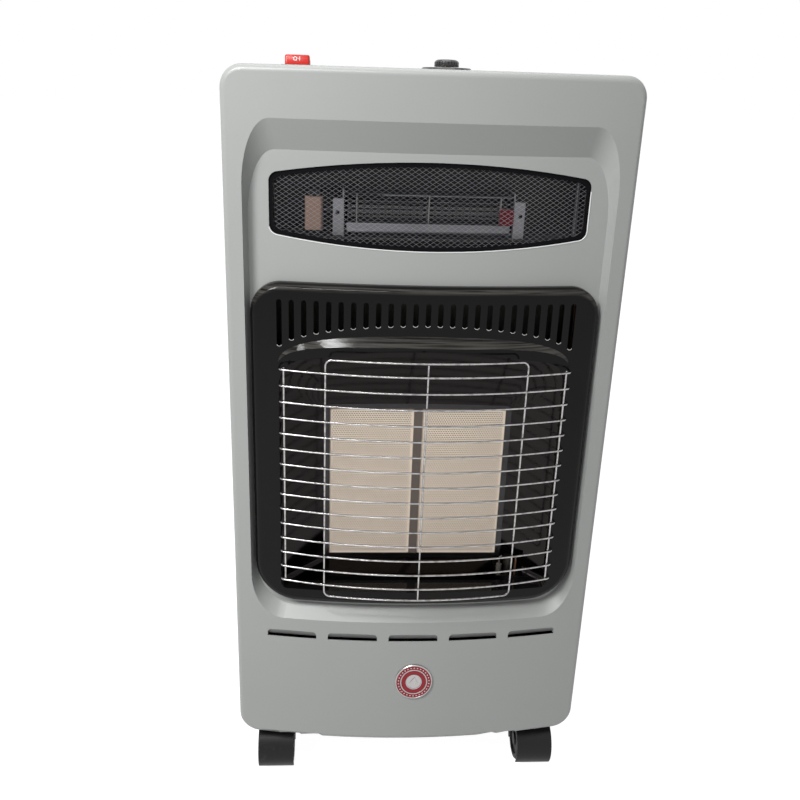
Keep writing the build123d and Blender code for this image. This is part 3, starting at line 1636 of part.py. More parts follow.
for place, (x, y) in castor_places().items():
    pieces["castor_" + place + "_hood"] = hood(x, y)
    pieces["castor_" + place + "_axle"] = axle(x, y)
    pieces["castor_" + place + "_wheels"] = wheels(x, y)
for name, piece in pieces.items():
    save(name, piece)
print("middle depth", round(middle_depth, 3), "top", round(knob_top, 2), "nodes", len(pieces))
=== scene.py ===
"""Portable gas cabinet heater: finishes, fine pieces, light and camera."""
import json
import math

import bpy
from mathutils import Matrix, Vector


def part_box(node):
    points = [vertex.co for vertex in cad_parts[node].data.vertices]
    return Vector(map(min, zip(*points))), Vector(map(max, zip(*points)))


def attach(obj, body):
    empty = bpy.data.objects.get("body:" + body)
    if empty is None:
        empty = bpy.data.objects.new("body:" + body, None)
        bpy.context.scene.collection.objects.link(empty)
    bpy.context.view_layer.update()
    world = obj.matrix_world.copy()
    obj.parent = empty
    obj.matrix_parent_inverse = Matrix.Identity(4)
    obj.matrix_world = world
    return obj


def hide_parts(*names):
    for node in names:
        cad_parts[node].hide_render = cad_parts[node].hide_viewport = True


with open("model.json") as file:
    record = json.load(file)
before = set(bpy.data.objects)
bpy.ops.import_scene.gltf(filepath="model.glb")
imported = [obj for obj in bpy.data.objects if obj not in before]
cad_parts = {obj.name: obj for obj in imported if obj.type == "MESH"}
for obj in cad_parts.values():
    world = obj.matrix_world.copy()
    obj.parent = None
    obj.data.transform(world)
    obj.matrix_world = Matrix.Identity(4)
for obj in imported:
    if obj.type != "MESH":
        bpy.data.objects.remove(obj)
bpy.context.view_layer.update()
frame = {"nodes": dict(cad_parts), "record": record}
nodes = frame["nodes"]


# ---------------------------------------------------------------- shader groups
def new_group(name, inputs, outputs):
    """An empty shader group with named sockets; inputs and outputs are (name, type, default)."""
    tree = bpy.data.node_groups.new(name, "ShaderNodeTree")
    for label, kind, default in inputs:
        socket = tree.interface.new_socket(label, in_out="INPUT", socket_type="NodeSocket" + kind)
        if default is not None:
            socket.default_value = default
    for label, kind in outputs:
        tree.interface.new_socket(label, in_out="OUTPUT", socket_type="NodeSocket" + kind)
    return tree, tree.nodes.new("NodeGroupInput"), tree.nodes.new("NodeGroupOutput")


def math_node(tree, operation, first, second=None, clamp=False):
    node = tree.nodes.new("ShaderNodeMath")
    node.operation = operation
    node.use_clamp = clamp
    for index, value in enumerate((first, second)):
        if value is None:
            continue
        if isinstance(value, (int, float)):
            node.inputs[index].default_value = value
        else:
            tree.links.new(value, node.inputs[index])
    return node.outputs[0]


def noise(tree, vector, scale, detail=3.0, roughness=0.55):
    node = tree.nodes.new("ShaderNodeTexNoise")
    node.inputs["Detail"].default_value = detail
    node.inputs["Roughness"].default_value = roughness
    if isinstance(scale, (int, float)):
        node.inputs["Scale"].default_value = scale
    else:
        tree.links.new(scale, node.inputs["Scale"])
    tree.links.new(vector, node.inputs["Vector"])
    return node.outputs["Fac"]


def mix_colour(tree, factor, first, second, blend="MIX"):
    node = tree.nodes.new("ShaderNodeMix")
    node.data_type = "RGBA"
    node.blend_type = blend
    for socket, value in ((node.inputs[0], factor), (node.inputs[6], first), (node.inputs[7], second)):
        if isinstance(value, (int, float, tuple)):
            socket.default_value = value
        else:
            tree.links.new(value, socket)
    return node.outputs[2]


def spread(tree, value, low, high, to_low=0.0, to_high=1.0):
    node = tree.nodes.new("ShaderNodeMapRange")
    node.inputs["From Min"].default_value = low
    node.inputs["From Max"].default_value = high
    node.inputs["To Min"].default_value = to_low
    node.inputs["To Max"].default_value = to_high
    tree.links.new(value, node.inputs["Value"])
    return node.outputs["Result"]


def build_colour_drift():
    """Broad, slight change of shade over a sheet."""
    tree, inside, outside = new_group(
        "Colour Drift",
        [
            ("Vector", "Vector", None), ("Colour", "Color", None),
            ("Scale", "Float", 6.0), ("Amount", "Float", 0.1),
        ],
        [("Colour", "Color")],
    )
    cloud = noise(tree, inside.outputs["Vector"], inside.outputs["Scale"], 4.0)
    factor = math_node(tree, "MULTIPLY", spread(tree, cloud, 0.3, 0.7), inside.outputs["Amount"], True)
    dark = mix_colour(tree, 1.0, inside.outputs["Colour"], (0.45, 0.44, 0.43, 1), "MULTIPLY")
    tree.links.new(mix_colour(tree, factor, inside.outputs["Colour"], dark), outside.inputs["Colour"])
    return tree


def build_paint_skin():
    """Orange-peel height and a roughness that wanders a little, for sprayed and stoved paint."""
    tree, inside, outside = new_group(
        "Paint Skin",
        [
            ("Vector", "Vector", None), ("Grain", "Float", 700.0),
            ("Roughness", "Float", 0.4), ("Wander", "Float", 0.06),
        ],
        [("Height", "Float"), ("Roughness", "Float")],
    )
    fine = noise(tree, inside.outputs["Vector"], inside.outputs["Grain"], 2.0)
    broad = noise(tree, inside.outputs["Vector"], 14.0, 4.0)
    tree.links.new(fine, outside.inputs["Height"])
    shift = math_node(tree, "MULTIPLY", spread(tree, broad, 0.3, 0.7, -1.0, 1.0), inside.outputs["Wander"])
    rough = math_node(tree, "ADD", inside.outputs["Roughness"], shift, True)
    tree.links.new(rough, outside.inputs["Roughness"])
    return tree


def build_brushed():
    """Fine lines left by rolling or brushing, along the axis with the smallest stretch."""
    tree, inside, outside = new_group(
        "Brushed Lines",
        [
            ("Vector", "Vector", None), ("Stretch", "Vector", (1, 1, 1)),
            ("Roughness", "Float", 0.3), ("Depth", "Float", 0.1),
        ],
        [("Height", "Float"), ("Roughness", "Float"), ("Shade", "Float")],
    )
    scaled = tree.nodes.new("ShaderNodeVectorMath")
    scaled.operation = "MULTIPLY"
    tree.links.new(inside.outputs["Vector"], scaled.inputs[0])
    tree.links.new(inside.outputs["Stretch"], scaled.inputs[1])
    lines = noise(tree, scaled.outputs[0], 1.0, 4.0, 0.6)
    tree.links.new(lines, outside.inputs["Height"])
    shift = math_node(tree, "MULTIPLY", spread(tree, lines, 0.25, 0.75, -1.0, 1.0), inside.outputs["Depth"])
    rough = math_node(tree, "ADD", inside.outputs["Roughness"], shift, True)
    tree.links.new(rough, outside.inputs["Roughness"])
    tree.links.new(spread(tree, lines, 0.2, 0.8), outside.inputs["Shade"])
    return tree


def build_dust():
    """Dust that has settled on faces that look up."""
    tree, inside, outside = new_group(
        "Settled Dust",
        [("Vector", "Vector", None), ("Amount", "Float", 0.2)],
        [("Mask", "Float")],
    )
    geometry = tree.nodes.new("ShaderNodeNewGeometry")
    split = tree.nodes.new("ShaderNodeSeparateXYZ")
    tree.links.new(geometry.outputs["Normal"], split.inputs[0])
    up = spread(tree, split.outputs["Z"], 0.55, 0.95)
    cloud = spread(tree, noise(tree, inside.outputs["Vector"], 45.0, 6.0, 0.7), 0.35, 0.75)
    amount = math_node(tree, "MULTIPLY", up, inside.outputs["Amount"])
    tree.links.new(math_node(tree, "MULTIPLY", amount, cloud, True), outside.inputs["Mask"])
    return tree


def build_painted_sheen():
    """Painted sheen: a streaky grey band where a glossy skin rolls upwards, and none on its level top,
    standing in for reflected light.
    """
    tree, inside, outside = new_group(
        "Painted Sheen",
        [("Vector", "Vector", None), ("Amount", "Float", 0.2)],
        [("Mask", "Float")],
    )
    geometry = tree.nodes.new("ShaderNodeNewGeometry")
    split = tree.nodes.new("ShaderNodeSeparateXYZ")
    tree.links.new(geometry.outputs["Normal"], split.inputs[0])
    rise = spread(tree, split.outputs["Z"], 0.12, 0.40)
    fall = spread(tree, split.outputs["Z"], 0.70, 0.90, 1.0, 0.0)
    scaled = tree.nodes.new("ShaderNodeVectorMath")
    scaled.operation = "MULTIPLY"
    tree.links.new(inside.outputs["Vector"], scaled.inputs[0])
    scaled.inputs[1].default_value = (14, 14, 650)
    streaks = spread(tree, noise(tree, scaled.outputs[0], 1.0, 4.0, 0.6), 0.36, 0.64)
    band = math_node(tree, "MULTIPLY", rise, fall)
    amount = math_node(tree, "MULTIPLY", band, inside.outputs["Amount"])
    tree.links.new(math_node(tree, "MULTIPLY", amount, streaks, True), outside.inputs["Mask"])
    return tree


def build_scuffs():
    """Sparse pale rub marks on plastic and rubber."""
    tree, inside, outside = new_group(
        "Rub Marks",
        [("Vector", "Vector", None), ("Scale", "Float", 120.0), ("Amount", "Float", 0.3)],
        [("Mask", "Float")],
    )
    patch = spread(tree, noise(tree, inside.outputs["Vector"], 30.0, 2.0), 0.5, 0.7)
    flecks = noise(tree, inside.outputs["Vector"], inside.outputs["Scale"], 6.0, 0.75)
    marks = spread(tree, flecks, 0.52, 0.66)
    both = math_node(tree, "MULTIPLY", patch, marks)
    tree.links.new(math_node(tree, "MULTIPLY", both, inside.outputs["Amount"], True), outside.inputs["Mask"])
    return tree


ROW_STEP = 0.866  # height of one row of holes, as a share of their pitch


def build_pierced():
    """Rows of round holes, every second row shifted by half a pitch, in the X-Z plane."""
    tree, inside, outside = new_group(
        "Pierced Rows",
        [("Vector", "Vector", None), ("Pitch", "Float", 0.002), ("Hole", "Float", 0.3)],
        [("Mask", "Float")],
    )
    split = tree.nodes.new("ShaderNodeSeparateXYZ")
    tree.links.new(inside.outputs["Vector"], split.inputs[0])
    across = math_node(tree, "DIVIDE", split.outputs["X"], inside.outputs["Pitch"])
    rise = math_node(tree, "MULTIPLY", inside.outputs["Pitch"], ROW_STEP)
    along = math_node(tree, "DIVIDE", split.outputs["Z"], rise)
    row = math_node(tree, "FLOOR", along)
    shift = math_node(tree, "MULTIPLY", math_node(tree, "MODULO", row, 2.0), 0.5)
    u = math_node(tree, "SUBTRACT", math_node(tree, "FRACT", math_node(tree, "ADD", across, shift)), 0.5)
    v = math_node(tree, "SUBTRACT", math_node(tree, "FRACT", along), 0.5)
    v = math_node(tree, "MULTIPLY", v, ROW_STEP)
    square = math_node(tree, "ADD", math_node(tree, "MULTIPLY", u, u), math_node(tree, "MULTIPLY", v, v))
    distance = math_node(tree, "SQRT", square)
    edge = math_node(tree, "SUBTRACT", inside.outputs["Hole"], distance)
    tree.links.new(math_node(tree, "MULTIPLY", edge, 12.0, True), outside.inputs["Mask"])
    return tree


colour_drift = build_colour_drift()
paint_skin = build_paint_skin()
brushed_lines = build_brushed()
settled_dust = build_dust()
painted_sheen = build_painted_sheen()
rub_marks = build_scuffs()
pierced_rows = build_pierced()


# ---------------------------------------------------------------- materials
def blank(name, roughness=0.5, metallic=0.0):
    """A material with only its main shader; returns it with its tree, shader and object coordinates."""
    material = bpy.data.materials.new(name)
    material.use_nodes = True
    tree = material.node_tree
    shader = next(node for node in tree.nodes if node.type == "BSDF_PRINCIPLED")
    shader.inputs["Roughness"].default_value = roughness
    shader.inputs["Metallic"].default_value = metallic
    place = tree.nodes.new("ShaderNodeTexCoord").outputs["Object"]
    return material, tree, shader, place


def use(tree, group, **values):
    """Places a shared group; a value is a number, a colour or a socket."""
    node = tree.nodes.new("ShaderNodeGroup")
    node.node_tree = group
    for label, value in values.items():
        socket = node.inputs[label]
        if isinstance(value, (int, float, tuple)):
            socket.default_value = value
        else:
            tree.links.new(value, socket)
    return node.outputs


def bump(tree, shader, height, strength, distance):
    node = tree.nodes.new("ShaderNodeBump")
    node.inputs["Strength"].default_value = strength
    node.inputs["Distance"].default_value = distance
    tree.links.new(height, node.inputs["Height"])
    tree.links.new(node.outputs["Normal"], shader.inputs["Normal"])


def painted(
    name, colour, roughness, drift=0.1, peel=0.2, grain=700.0, coat=0.0, dust=0.0, specular=0.5, painted_sheen_amount=0.0
):
    """Sprayed or stoved paint on sheet steel."""
    material, tree, shader, place = blank(name, roughness)
    base = use(tree, colour_drift, Vector=place, Colour=(*colour, 1), Scale=6.0, Amount=drift)["Colour"]
    skin = use(tree, paint_skin, Vector=place, Grain=grain, Roughness=roughness, Wander=0.05)
    rough = skin["Roughness"]
    if dust:
        mask = use(tree, settled_dust, Vector=place, Amount=dust)["Mask"]
        base = mix_colour(tree, mask, base, (0.42, 0.40, 0.37, 1))
        rough = math_node(tree, "ADD", rough, math_node(tree, "MULTIPLY", mask, 0.4), True)
    # painted sheen: a warm grey mixed in where the skin rolls upwards stands in for reflected light
    if painted_sheen_amount:
        mask = use(tree, painted_sheen, Vector=place, Amount=painted_sheen_amount)["Mask"]
        base = mix_colour(tree, mask, base, (0.40, 0.38, 0.34, 1))
    tree.links.new(base, shader.inputs["Base Color"])
    tree.links.new(rough, shader.inputs["Roughness"])
    shader.inputs["Specular IOR Level"].default_value = specular
    shader.inputs["Coat Weight"].default_value = coat
    shader.inputs["Coat Roughness"].default_value = 0.05
    bump(tree, shader, skin["Height"], peel, 0.0004)
    return material


def rolled_metal(name, colour, roughness, stretch, depth=0.08, height=0.12, darken=0.25):
    """Bare or plated metal with fine lines from rolling, drawing or machining."""
    material, tree, shader, place = blank(name, roughness, 1.0)
    lines = use(tree, brushed_lines, Vector=place, Stretch=stretch, Roughness=roughness, Depth=depth)
    dark = tuple(channel * (1 - darken) for channel in colour)
    base = mix_colour(tree, lines["Shade"], (*dark, 1), (*colour, 1))
    tree.links.new(base, shader.inputs["Base Color"])
    tree.links.new(lines["Roughness"], shader.inputs["Roughness"])
    bump(tree, shader, lines["Height"], height, 0.0002)
    return material


def moulded(
    name, colour, roughness, grain=1500.0, texture=0.15, marks=0.2,
    pale=(0.3, 0.3, 0.3), coat=0.0, specular=0.5,
):
    """Moulded plastic or rubber with a fine grain and a few rub marks."""
    material, tree, shader, place = blank(name, roughness)
    skin = use(tree, paint_skin, Vector=place, Grain=grain, Roughness=roughness, Wander=0.08)
    mask = use(tree, rub_marks, Vector=place, Scale=150.0, Amount=marks)["Mask"]
    base = use(tree, colour_drift, Vector=place, Colour=(*colour, 1), Scale=30.0, Amount=0.15)["Colour"]
    tree.links.new(mix_colour(tree, mask, base, (*pale, 1)), shader.inputs["Base Color"])
    tree.links.new(skin["Roughness"], shader.inputs["Roughness"])
    shader.inputs["Coat Weight"].default_value = coat
    shader.inputs["Specular IOR Level"].default_value = specular
    bump(tree, shader, skin["Height"], texture, 0.0003)
    return material


def pierced_plaque(name):
    """Cream ceramic, pierced all over but for a plain border, with the holes painted as dark dots of shade
    and dented in the bump.
    """
    border = 0.004
    material, tree, shader, place = blank(name, 0.85)
    holes = use(tree, pierced_rows, Vector=place, Pitch=0.0025, Hole=0.29)["Mask"]
    left_low, left_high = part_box("plaque_left")
    right_low, right_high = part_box("plaque_right")
    split = tree.nodes.new("ShaderNodeSeparateXYZ")
    tree.links.new(place, split.inputs[0])
    middle = (right_low.x + right_high.x) / 2
    half = (right_high.x - right_low.x) / 2 - border
    from_centre = math_node(tree, "ABSOLUTE", split.outputs["X"])
    across = math_node(tree, "ABSOLUTE", math_node(tree, "SUBTRACT", from_centre, middle))
    in_x = math_node(tree, "LESS_THAN", across, half)
    centre = (left_low.z + left_high.z) / 2
    half_z = (left_high.z - left_low.z) / 2 - border
    along = math_node(tree, "ABSOLUTE", math_node(tree, "SUBTRACT", split.outputs["Z"], centre))
    in_z = math_node(tree, "LESS_THAN", along, half_z)
    field = math_node(tree, "MULTIPLY", in_x, in_z)
    mask = math_node(tree, "MULTIPLY", holes, field)
    cream = (0.97, 0.83, 0.69, 1)
    cream = use(tree, colour_drift, Vector=place, Colour=cream, Scale=25.0, Amount=0.06)["Colour"]
    fine = noise(tree, place, 900.0, 3.0)
    grainy = mix_colour(tree, spread(tree, fine, 0.35, 0.65, 0.0, 0.25), cream, (0.74, 0.60, 0.48, 1))
    # the holes are painted: dark dots as a painted shade for their insides
    tree.links.new(mix_colour(tree, mask, grainy, (0.025, 0.012, 0.008, 1)), shader.inputs["Base Color"])
    height = math_node(tree, "SUBTRACT", math_node(tree, "MULTIPLY", fine, 0.15), mask)
    bump(tree, shader, height, 0.6, 0.0006)
    return material


def chrome_wire(name):
    """Bright plating with a cloudy sheen and dark stains."""
    material, tree, shader, place = blank(name, 0.12, 1.0)
    cloud = noise(tree, place, 60.0, 4.0)
    tree.links.new(spread(tree, cloud, 0.3, 0.7, 0.08, 0.22), shader.inputs["Roughness"])
    stain = spread(tree, noise(tree, place, 220.0, 5.0), 0.45, 0.70, 0.0, 0.6)
    base = mix_colour(tree, stain, (0.40, 0.39, 0.39, 1), (0.07, 0.06, 0.055, 1))
    tree.links.new(base, shader.inputs["Base Color"])
    bump(tree, shader, cloud, 0.08, 0.0003)
    return material


finishes = {
    "panel_grey": painted(
        "Stoved Light Grey", (0.375, 0.387, 0.376), 0.36, drift=0.06, peel=0.1, grain=500.0,
        dust=0.04,
    ),
    "cabinet_black": painted(
        "Black Powder Coat", (0.022, 0.022, 0.024), 0.48, drift=0.12, peel=0.55, grain=1300.0,
        dust=0.03,
    ),
    # the enamel gets a painted sheen on its upward rolls in place of reflected light
    "enamel_black": painted(
        "Black Vitreous Enamel", (0.005, 0.0045, 0.0045), 0.07, drift=0.2, peel=0.08, grain=220.0,
        specular=0.12, painted_sheen_amount=0.15,
    ),
    "guard_chrome": chrome_wire("Bright Plated Wire"),
    # the polished reflector is made near-black as a painted reflection of dark surroundings
    "reflector_steel": rolled_metal(
        "Polished Reflector With Painted Dark Reflection", (0.018, 0.016, 0.016), 0.09, stretch=(40, 40, 900), depth=0.04,
        height=0.06,
    ),
    "sooted_steel": rolled_metal(
        "Sooted Steel", (0.055, 0.053, 0.05), 0.5, stretch=(90, 90, 30), depth=0.1, height=0.15,
    ),
    "zinc_steel": rolled_metal("Zinc Plated Steel", (0.52, 0.53, 0.54), 0.35, stretch=(300, 300, 60)),
    "mesh_grey": painted("Light Grey Enamel on Mesh", (0.3, 0.3, 0.33), 0.34, drift=0.6, grain=900.0),
    "plaque_ceramic": pierced_plaque("Pierced Cream Ceramic"),
    "insulator_white": painted(
        "Glazed White Ceramic", (0.8, 0.78, 0.72), 0.18, drift=0.08, peel=0.1, grain=400.0,
        coat=0.5,
    ),
    "brass": rolled_metal("Machined Brass", (0.74, 0.53, 0.22), 0.28, stretch=(80, 80, 1800)),
    "copper": rolled_metal("Drawn Copper", (0.72, 0.36, 0.22), 0.3, stretch=(400, 400, 40)),
    "gas_pipe": rolled_metal("Drawn Aluminium Pipe", (0.66, 0.67, 0.68), 0.32, stretch=(400, 400, 40)),
    "lead_black": moulded("Sleeved Lead", (0.02, 0.02, 0.02), 0.55),
    "valve_body": rolled_metal(
        "Die-cast Valve Body", (0.55, 0.55, 0.56), 0.45, stretch=(500, 500, 500), depth=0.1,
        height=0.3,
    ),
    "knob_black": moulded(
        "Black Knob Moulding", (0.016, 0.016, 0.017), 0.28, grain=1100.0, texture=0.08, marks=0.1,
        coat=0.3,
    ),
    "switch_black": moulded("Black Housing Moulding", (0.02, 0.02, 0.021), 0.42),
    "switch_red": moulded(
        "Red Rocker Moulding", (0.56, 0.018, 0.01), 0.3, grain=900.0, texture=0.04, marks=0.05,
        pale=(0.7, 0.2, 0.12), coat=0.05, specular=0.35,
    ),
    # near-black as a painted shade for the dark inside of the cabinet
    "housing_steel": rolled_metal(
        "Galvanised Sheet Darkened as Painted Shade", (0.022, 0.022, 0.024), 0.55, stretch=(120, 120, 30), depth=0.1,
        height=0.15,
    ),
    "plate_grey": rolled_metal("Flange Sheet", (0.2, 0.2, 0.21), 0.5, stretch=(150, 150, 40), height=0.15),
    "rotor_aluminium": rolled_metal("Thin Blade Sheet", (0.07, 0.07, 0.07), 0.4, stretch=(60, 600, 600)),
    "core_steel": rolled_metal(
        "Stacked Core Sheets", (0.03, 0.03, 0.03), 0.5, stretch=(2500, 60, 60), depth=0.15,
        height=0.5,
    ),
    "coil_tape": moulded(
        "Varnished Coil Tape", (0.21, 0.135, 0.1), 0.5, grain=300.0, texture=0.4, marks=0.7,
        pale=(0.26, 0.07, 0.06),
    ),
    "mica": painted("Mica Sheet", (0.2, 0.195, 0.18), 0.4, drift=0.3, peel=0.3, grain=500.0),
    "element_wire": rolled_metal("Resistance Wire", (0.2, 0.19, 0.18), 0.4, stretch=(900, 300, 300)),
    "cutout_red": moulded("Dark Red Moulding", (0.085, 0.006, 0.01), 0.45, specular=0.2),
    "castor_charcoal": moulded(
        "Charcoal Nylon", (0.016, 0.016, 0.017), 0.4, grain=1400.0, texture=0.2, marks=0.25,
        pale=(0.09, 0.09, 0.09), specular=0.15,
    ),
    "wheel_black": moulded(
        "Hard Rubber Tread", (0.014, 0.014, 0.015), 0.55, grain=900.0, texture=0.35, marks=0.5,
        pale=(0.1, 0.095, 0.09), specular=0.15,
    ),
    "badge_red": moulded(
        "Red Resin", (0.3, 0.008, 0.018), 0.3, grain=500.0, texture=0.03, marks=0.0, pale=(0.5, 0.1, 0.1),
        specular=0.3,
    ),
    "gland_black": moulded("Rubber Bush", (0.018, 0.018, 0.018), 0.6),
}

own_finish = {
    "spindle_collar": rolled_metal("Blackened Brass", (0.05, 0.042, 0.035), 0.45, stretch=(80, 80, 1800)),
    # near-black as a painted shade for the dark space behind the window's mesh
    "fan_housing": rolled_metal(
        "Fan Housing Darkened as Painted Shade", (0.018, 0.018, 0.019), 0.5, stretch=(120, 120, 30), depth=0.1,
        height=0.15,
    ),
    # black rim made matt and near-black as a painted shadow gap around the mesh
    "mesh_rim": painted(
        "Black Rim With Painted Shadow Gap", (0.004, 0.004, 0.005), 0.6, drift=0.2, peel=0.3, grain=900.0,
        specular=0.05,
    ),
    "burner_frame": rolled_metal(
        "Heat Blackened Frame", (0.045, 0.043, 0.044), 0.22, stretch=(60, 60, 500), depth=0.06,
    ),
    "plaque_divider": moulded(
        "Scorched Cement Strip", (0.13, 0.105, 0.09), 0.8, grain=700.0, texture=0.6, marks=0.5,
        pale=(0.24, 0.2, 0.17),
    ),
    "pilot_burner": rolled_metal(
        "Sooted Pilot Sheet", (0.05, 0.045, 0.04), 0.45, stretch=(300, 300, 60), depth=0.1,
        height=0.2,
    ),
    "ignition_electrode": moulded(
        "Sooted Porcelain", (0.1, 0.09, 0.08), 0.35, grain=900.0, texture=0.1, marks=0.5,
        pale=(0.28, 0.25, 0.22),
    ),
    "thermocouple": rolled_metal("Tarnished Copper", (0.2, 0.11, 0.075), 0.45, stretch=(400, 400, 40)),
    "pilot_pipe": rolled_metal("Dulled Aluminium Pipe", (0.17, 0.17, 0.17), 0.45, stretch=(400, 400, 40)),
    # darkened as a painted shade for the dark inside of the cabinet
    "heat_shield": rolled_metal(
        "Shield Darkened as Painted Shade", (0.055, 0.053, 0.05), 0.6, stretch=(90, 90, 30), depth=0.1,
        height=0.15,
    ),
}

extra_finish = {
    # light colour: a painted highlight along the lit lip of the window
    "window_lip": painted("Rolled Edge With Painted Highlight", (0.8, 0.81, 0.8), 0.22, drift=0.05, peel=0.05, grain=600.0),
    # bright metal lips: a painted glint at the lower ends of the slots
    "slot_lips": rolled_metal(
        "Lip Metal With Painted Glint", (0.78, 0.77, 0.75), 0.16, stretch=(500, 500, 500), depth=0.04,
        height=0.05,
    ),
    "badge_plate": rolled_metal(
        "Bright Badge Metal", (0.42, 0.4, 0.4), 0.3, stretch=(500, 500, 500), depth=0.04,
        height=0.05,
    ),
    "outlet_trim": rolled_metal(
        "Folded Ledge Sheet", (0.17, 0.17, 0.18), 0.38, stretch=(60, 300, 300), height=0.15,
    ),
    "white_mark": painted("White Marking", (0.85, 0.85, 0.85), 0.4, drift=0.05, peel=0.05, grain=900.0),
}

slot_of = {entry["node"]: entry["material_slot"] for entry in frame["record"]["subparts"]}
for name, part in nodes.items():
    finish = own_finish.get(name, finishes[slot_of[name]])
    if not part.material_slots:
        part.data.materials.append(finish)
    for slot in part.material_slots:
        slot.material = finish


# ---------------------------------------------------------------- modelling helpers
def deselect():
    bpy.ops.object.select_all(action="DESELECT")


def edit(piece):
    """Opens a piece for editing with everything selected."""
    deselect()
    piece.select_set(True)
    bpy.context.view_layer.objects.active = piece
    bpy.ops.object.mode_set(mode="EDIT")
    bpy.ops.mesh.select_mode(type="FACE")
    bpy.ops.mesh.select_all(action="SELECT")


def pick_faces(piece, wanted):
    """Selects the faces whose centre and normal pass a test, and stays in edit mode."""
    bpy.ops.object.mode_set(mode="OBJECT")
    for edge in piece.data.edges:
        edge.select = False
    for vertex in piece.data.vertices:
        vertex.select = False
    for face in piece.data.polygons:
        face.select = bool(wanted(face.center, face.normal))
    bpy.ops.object.mode_set(mode="EDIT")


def pick_edges(piece, wanted):
    """Selects the edges whose two ends pass a test, and stays in edit mode."""
    bpy.ops.mesh.select_mode(type="EDGE")
    bpy.ops.object.mode_set(mode="OBJECT")
    points = piece.data.vertices
    for face in piece.data.polygons:
        face.select = False
    for vertex in points:
        vertex.select = False
    for edge in piece.data.edges:
        edge.select = bool(wanted(points[edge.vertices[0]].co, points[edge.vertices[1]].co))
    bpy.ops.object.mode_set(mode="EDIT")


def close_edit():
    bpy.ops.object.mode_set(mode="OBJECT")


def settle(piece):
    """Puts a piece's place into its mesh."""
    deselect()
    piece.select_set(True)
    bpy.context.view_layer.objects.active = piece
    bpy.ops.object.transform_apply(location=True, rotation=True, scale=True)
    return piece


def apply_modifier(piece, kind, **values):
    bpy.context.view_layer.objects.active = piece
    modifier = piece.modifiers.new(kind.title(), kind)
    for label, value in values.items():
        setattr(modifier, label, value)
    bpy.ops.object.modifier_apply(modifier=modifier.name)


def copy_of(piece, move=(0, 0, 0), turn=None):
    """A copy with its own mesh, turned about the origin and then moved."""
    twin = piece.copy()
    twin.data = piece.data.copy()
    bpy.context.scene.collection.objects.link(twin)
    matrix = Matrix.Translation(move)
    if turn is not None:
        matrix = matrix @ turn
    twin.data.transform(matrix)
    return twin


def soften(piece, width, segments, angle):
    """Rounds the edges that are sharper than an angle in degrees."""
    limit = math.radians(angle)
    apply_modifier(piece, "BEVEL", width=width, segments=segments, limit_method="ANGLE", angle_limit=limit)


def join(pieces):
    deselect()
    for piece in pieces:
        piece.select_set(True)
    bpy.context.view_layer.objects.active = pieces[0]
    bpy.ops.object.join()
    return pieces[0]


def hand_over(piece, name, slot, body, replaced=(), smooth=35, finish=None):
    """Names, smooths and finishes a piece, and fixes it to its body."""
    settle(piece)
    bpy.ops.object.shade_smooth_by_angle(angle=math.radians(smooth))
    piece.name = name
    piece.data.name = name
    piece.data.materials.clear()
    piece.data.materials.append(extra_finish[finish] if finish else finishes[slot])
    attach(piece, body)
    if replaced:
        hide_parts(*replaced)
    return piece


# ---------------------------------------------------------------- pieces
ROUND = 96  # sides of a turned piece
FORWARDS = (math.pi / 2, 0, 0)  # turns a piece's axis from Z to the front
BOW_RADIUS, BOW_MIDDLE = 0.9125, 0.7165  # radius of the panel's bowed face, and the Y of its axis
SWITCH_DEPTH, SWITCH_LEVEL = -0.143, 0.765  # Y and Z that the rocker is made about
ROCKER_TILT = -9  # degrees from level, in the off position


def expanded_mesh():
    """Diamond mesh of slit and stretched sheet, wrapped to the bow behind the window."""
    low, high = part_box("mesh_grille")
    hem = 0.004
    half, top = high.x - hem, high.z - hem
    middle = (low.z + high.z) / 2
    cells, across, tall = 74, 0.0065, 0.0042
    deselect()
    bpy.ops.mesh.primitive_grid_add(x_subdivisions=cells, y_subdivisions=cells, size=1, location=(0, 0, 0))
    net = bpy.context.object
    edit(net)
    bpy.ops.transform.rotate(value=math.pi / 4, orient_axis="Z", center_override=(0, 0, 0))
    widen = cells / math.sqrt(2)
    bpy.ops.transform.resize(value=(across * widen, tall * widen, 1), center_override=(0, 0, 0))
    bpy.ops.transform.rotate(value=math.pi / 2, orient_axis="X", center_override=(0, 0, 0))
    bpy.ops.transform.translate(value=(0, low.y - 0.01, middle))
    for place, normal in (
        ((half, 0, 0), (1, 0, 0)),
        ((-half, 0, 0), (-1, 0, 0)),
        ((0, 0, top), (0, 0, 1)),
        ((0, 0, 2 * middle - top), (0, 0, -1)),
    ):
        bpy.ops.mesh.select_all(action="SELECT")
        bpy.ops.mesh.bisect(plane_co=place, plane_no=normal, clear_outer=True)
    close_edit()
    radius, reach, off_sheet, strand = 0.8965, 0.2, 0.0004, 0.00044
    deselect()
    bpy.ops.mesh.primitive_cylinder_add(
        vertices=2048, radius=radius, depth=reach, location=(0, low.y + off_sheet + radius, middle)
    )
    drum = bpy.context.object
    apply_modifier(
        net, "SHRINKWRAP", wrap_method="PROJECT", use_project_y=True, use_project_x=False,
        use_positive_direction=True, use_negative_direction=False, target=drum,
    )
    bpy.data.objects.remove(drum)
    apply_modifier(net, "WIREFRAME", thickness=strand, use_even_offset=False, use_replace=True)
    return hand_over(net, "expanded_mesh", "mesh_grey", "cabinet", ("mesh_grille",), 60)


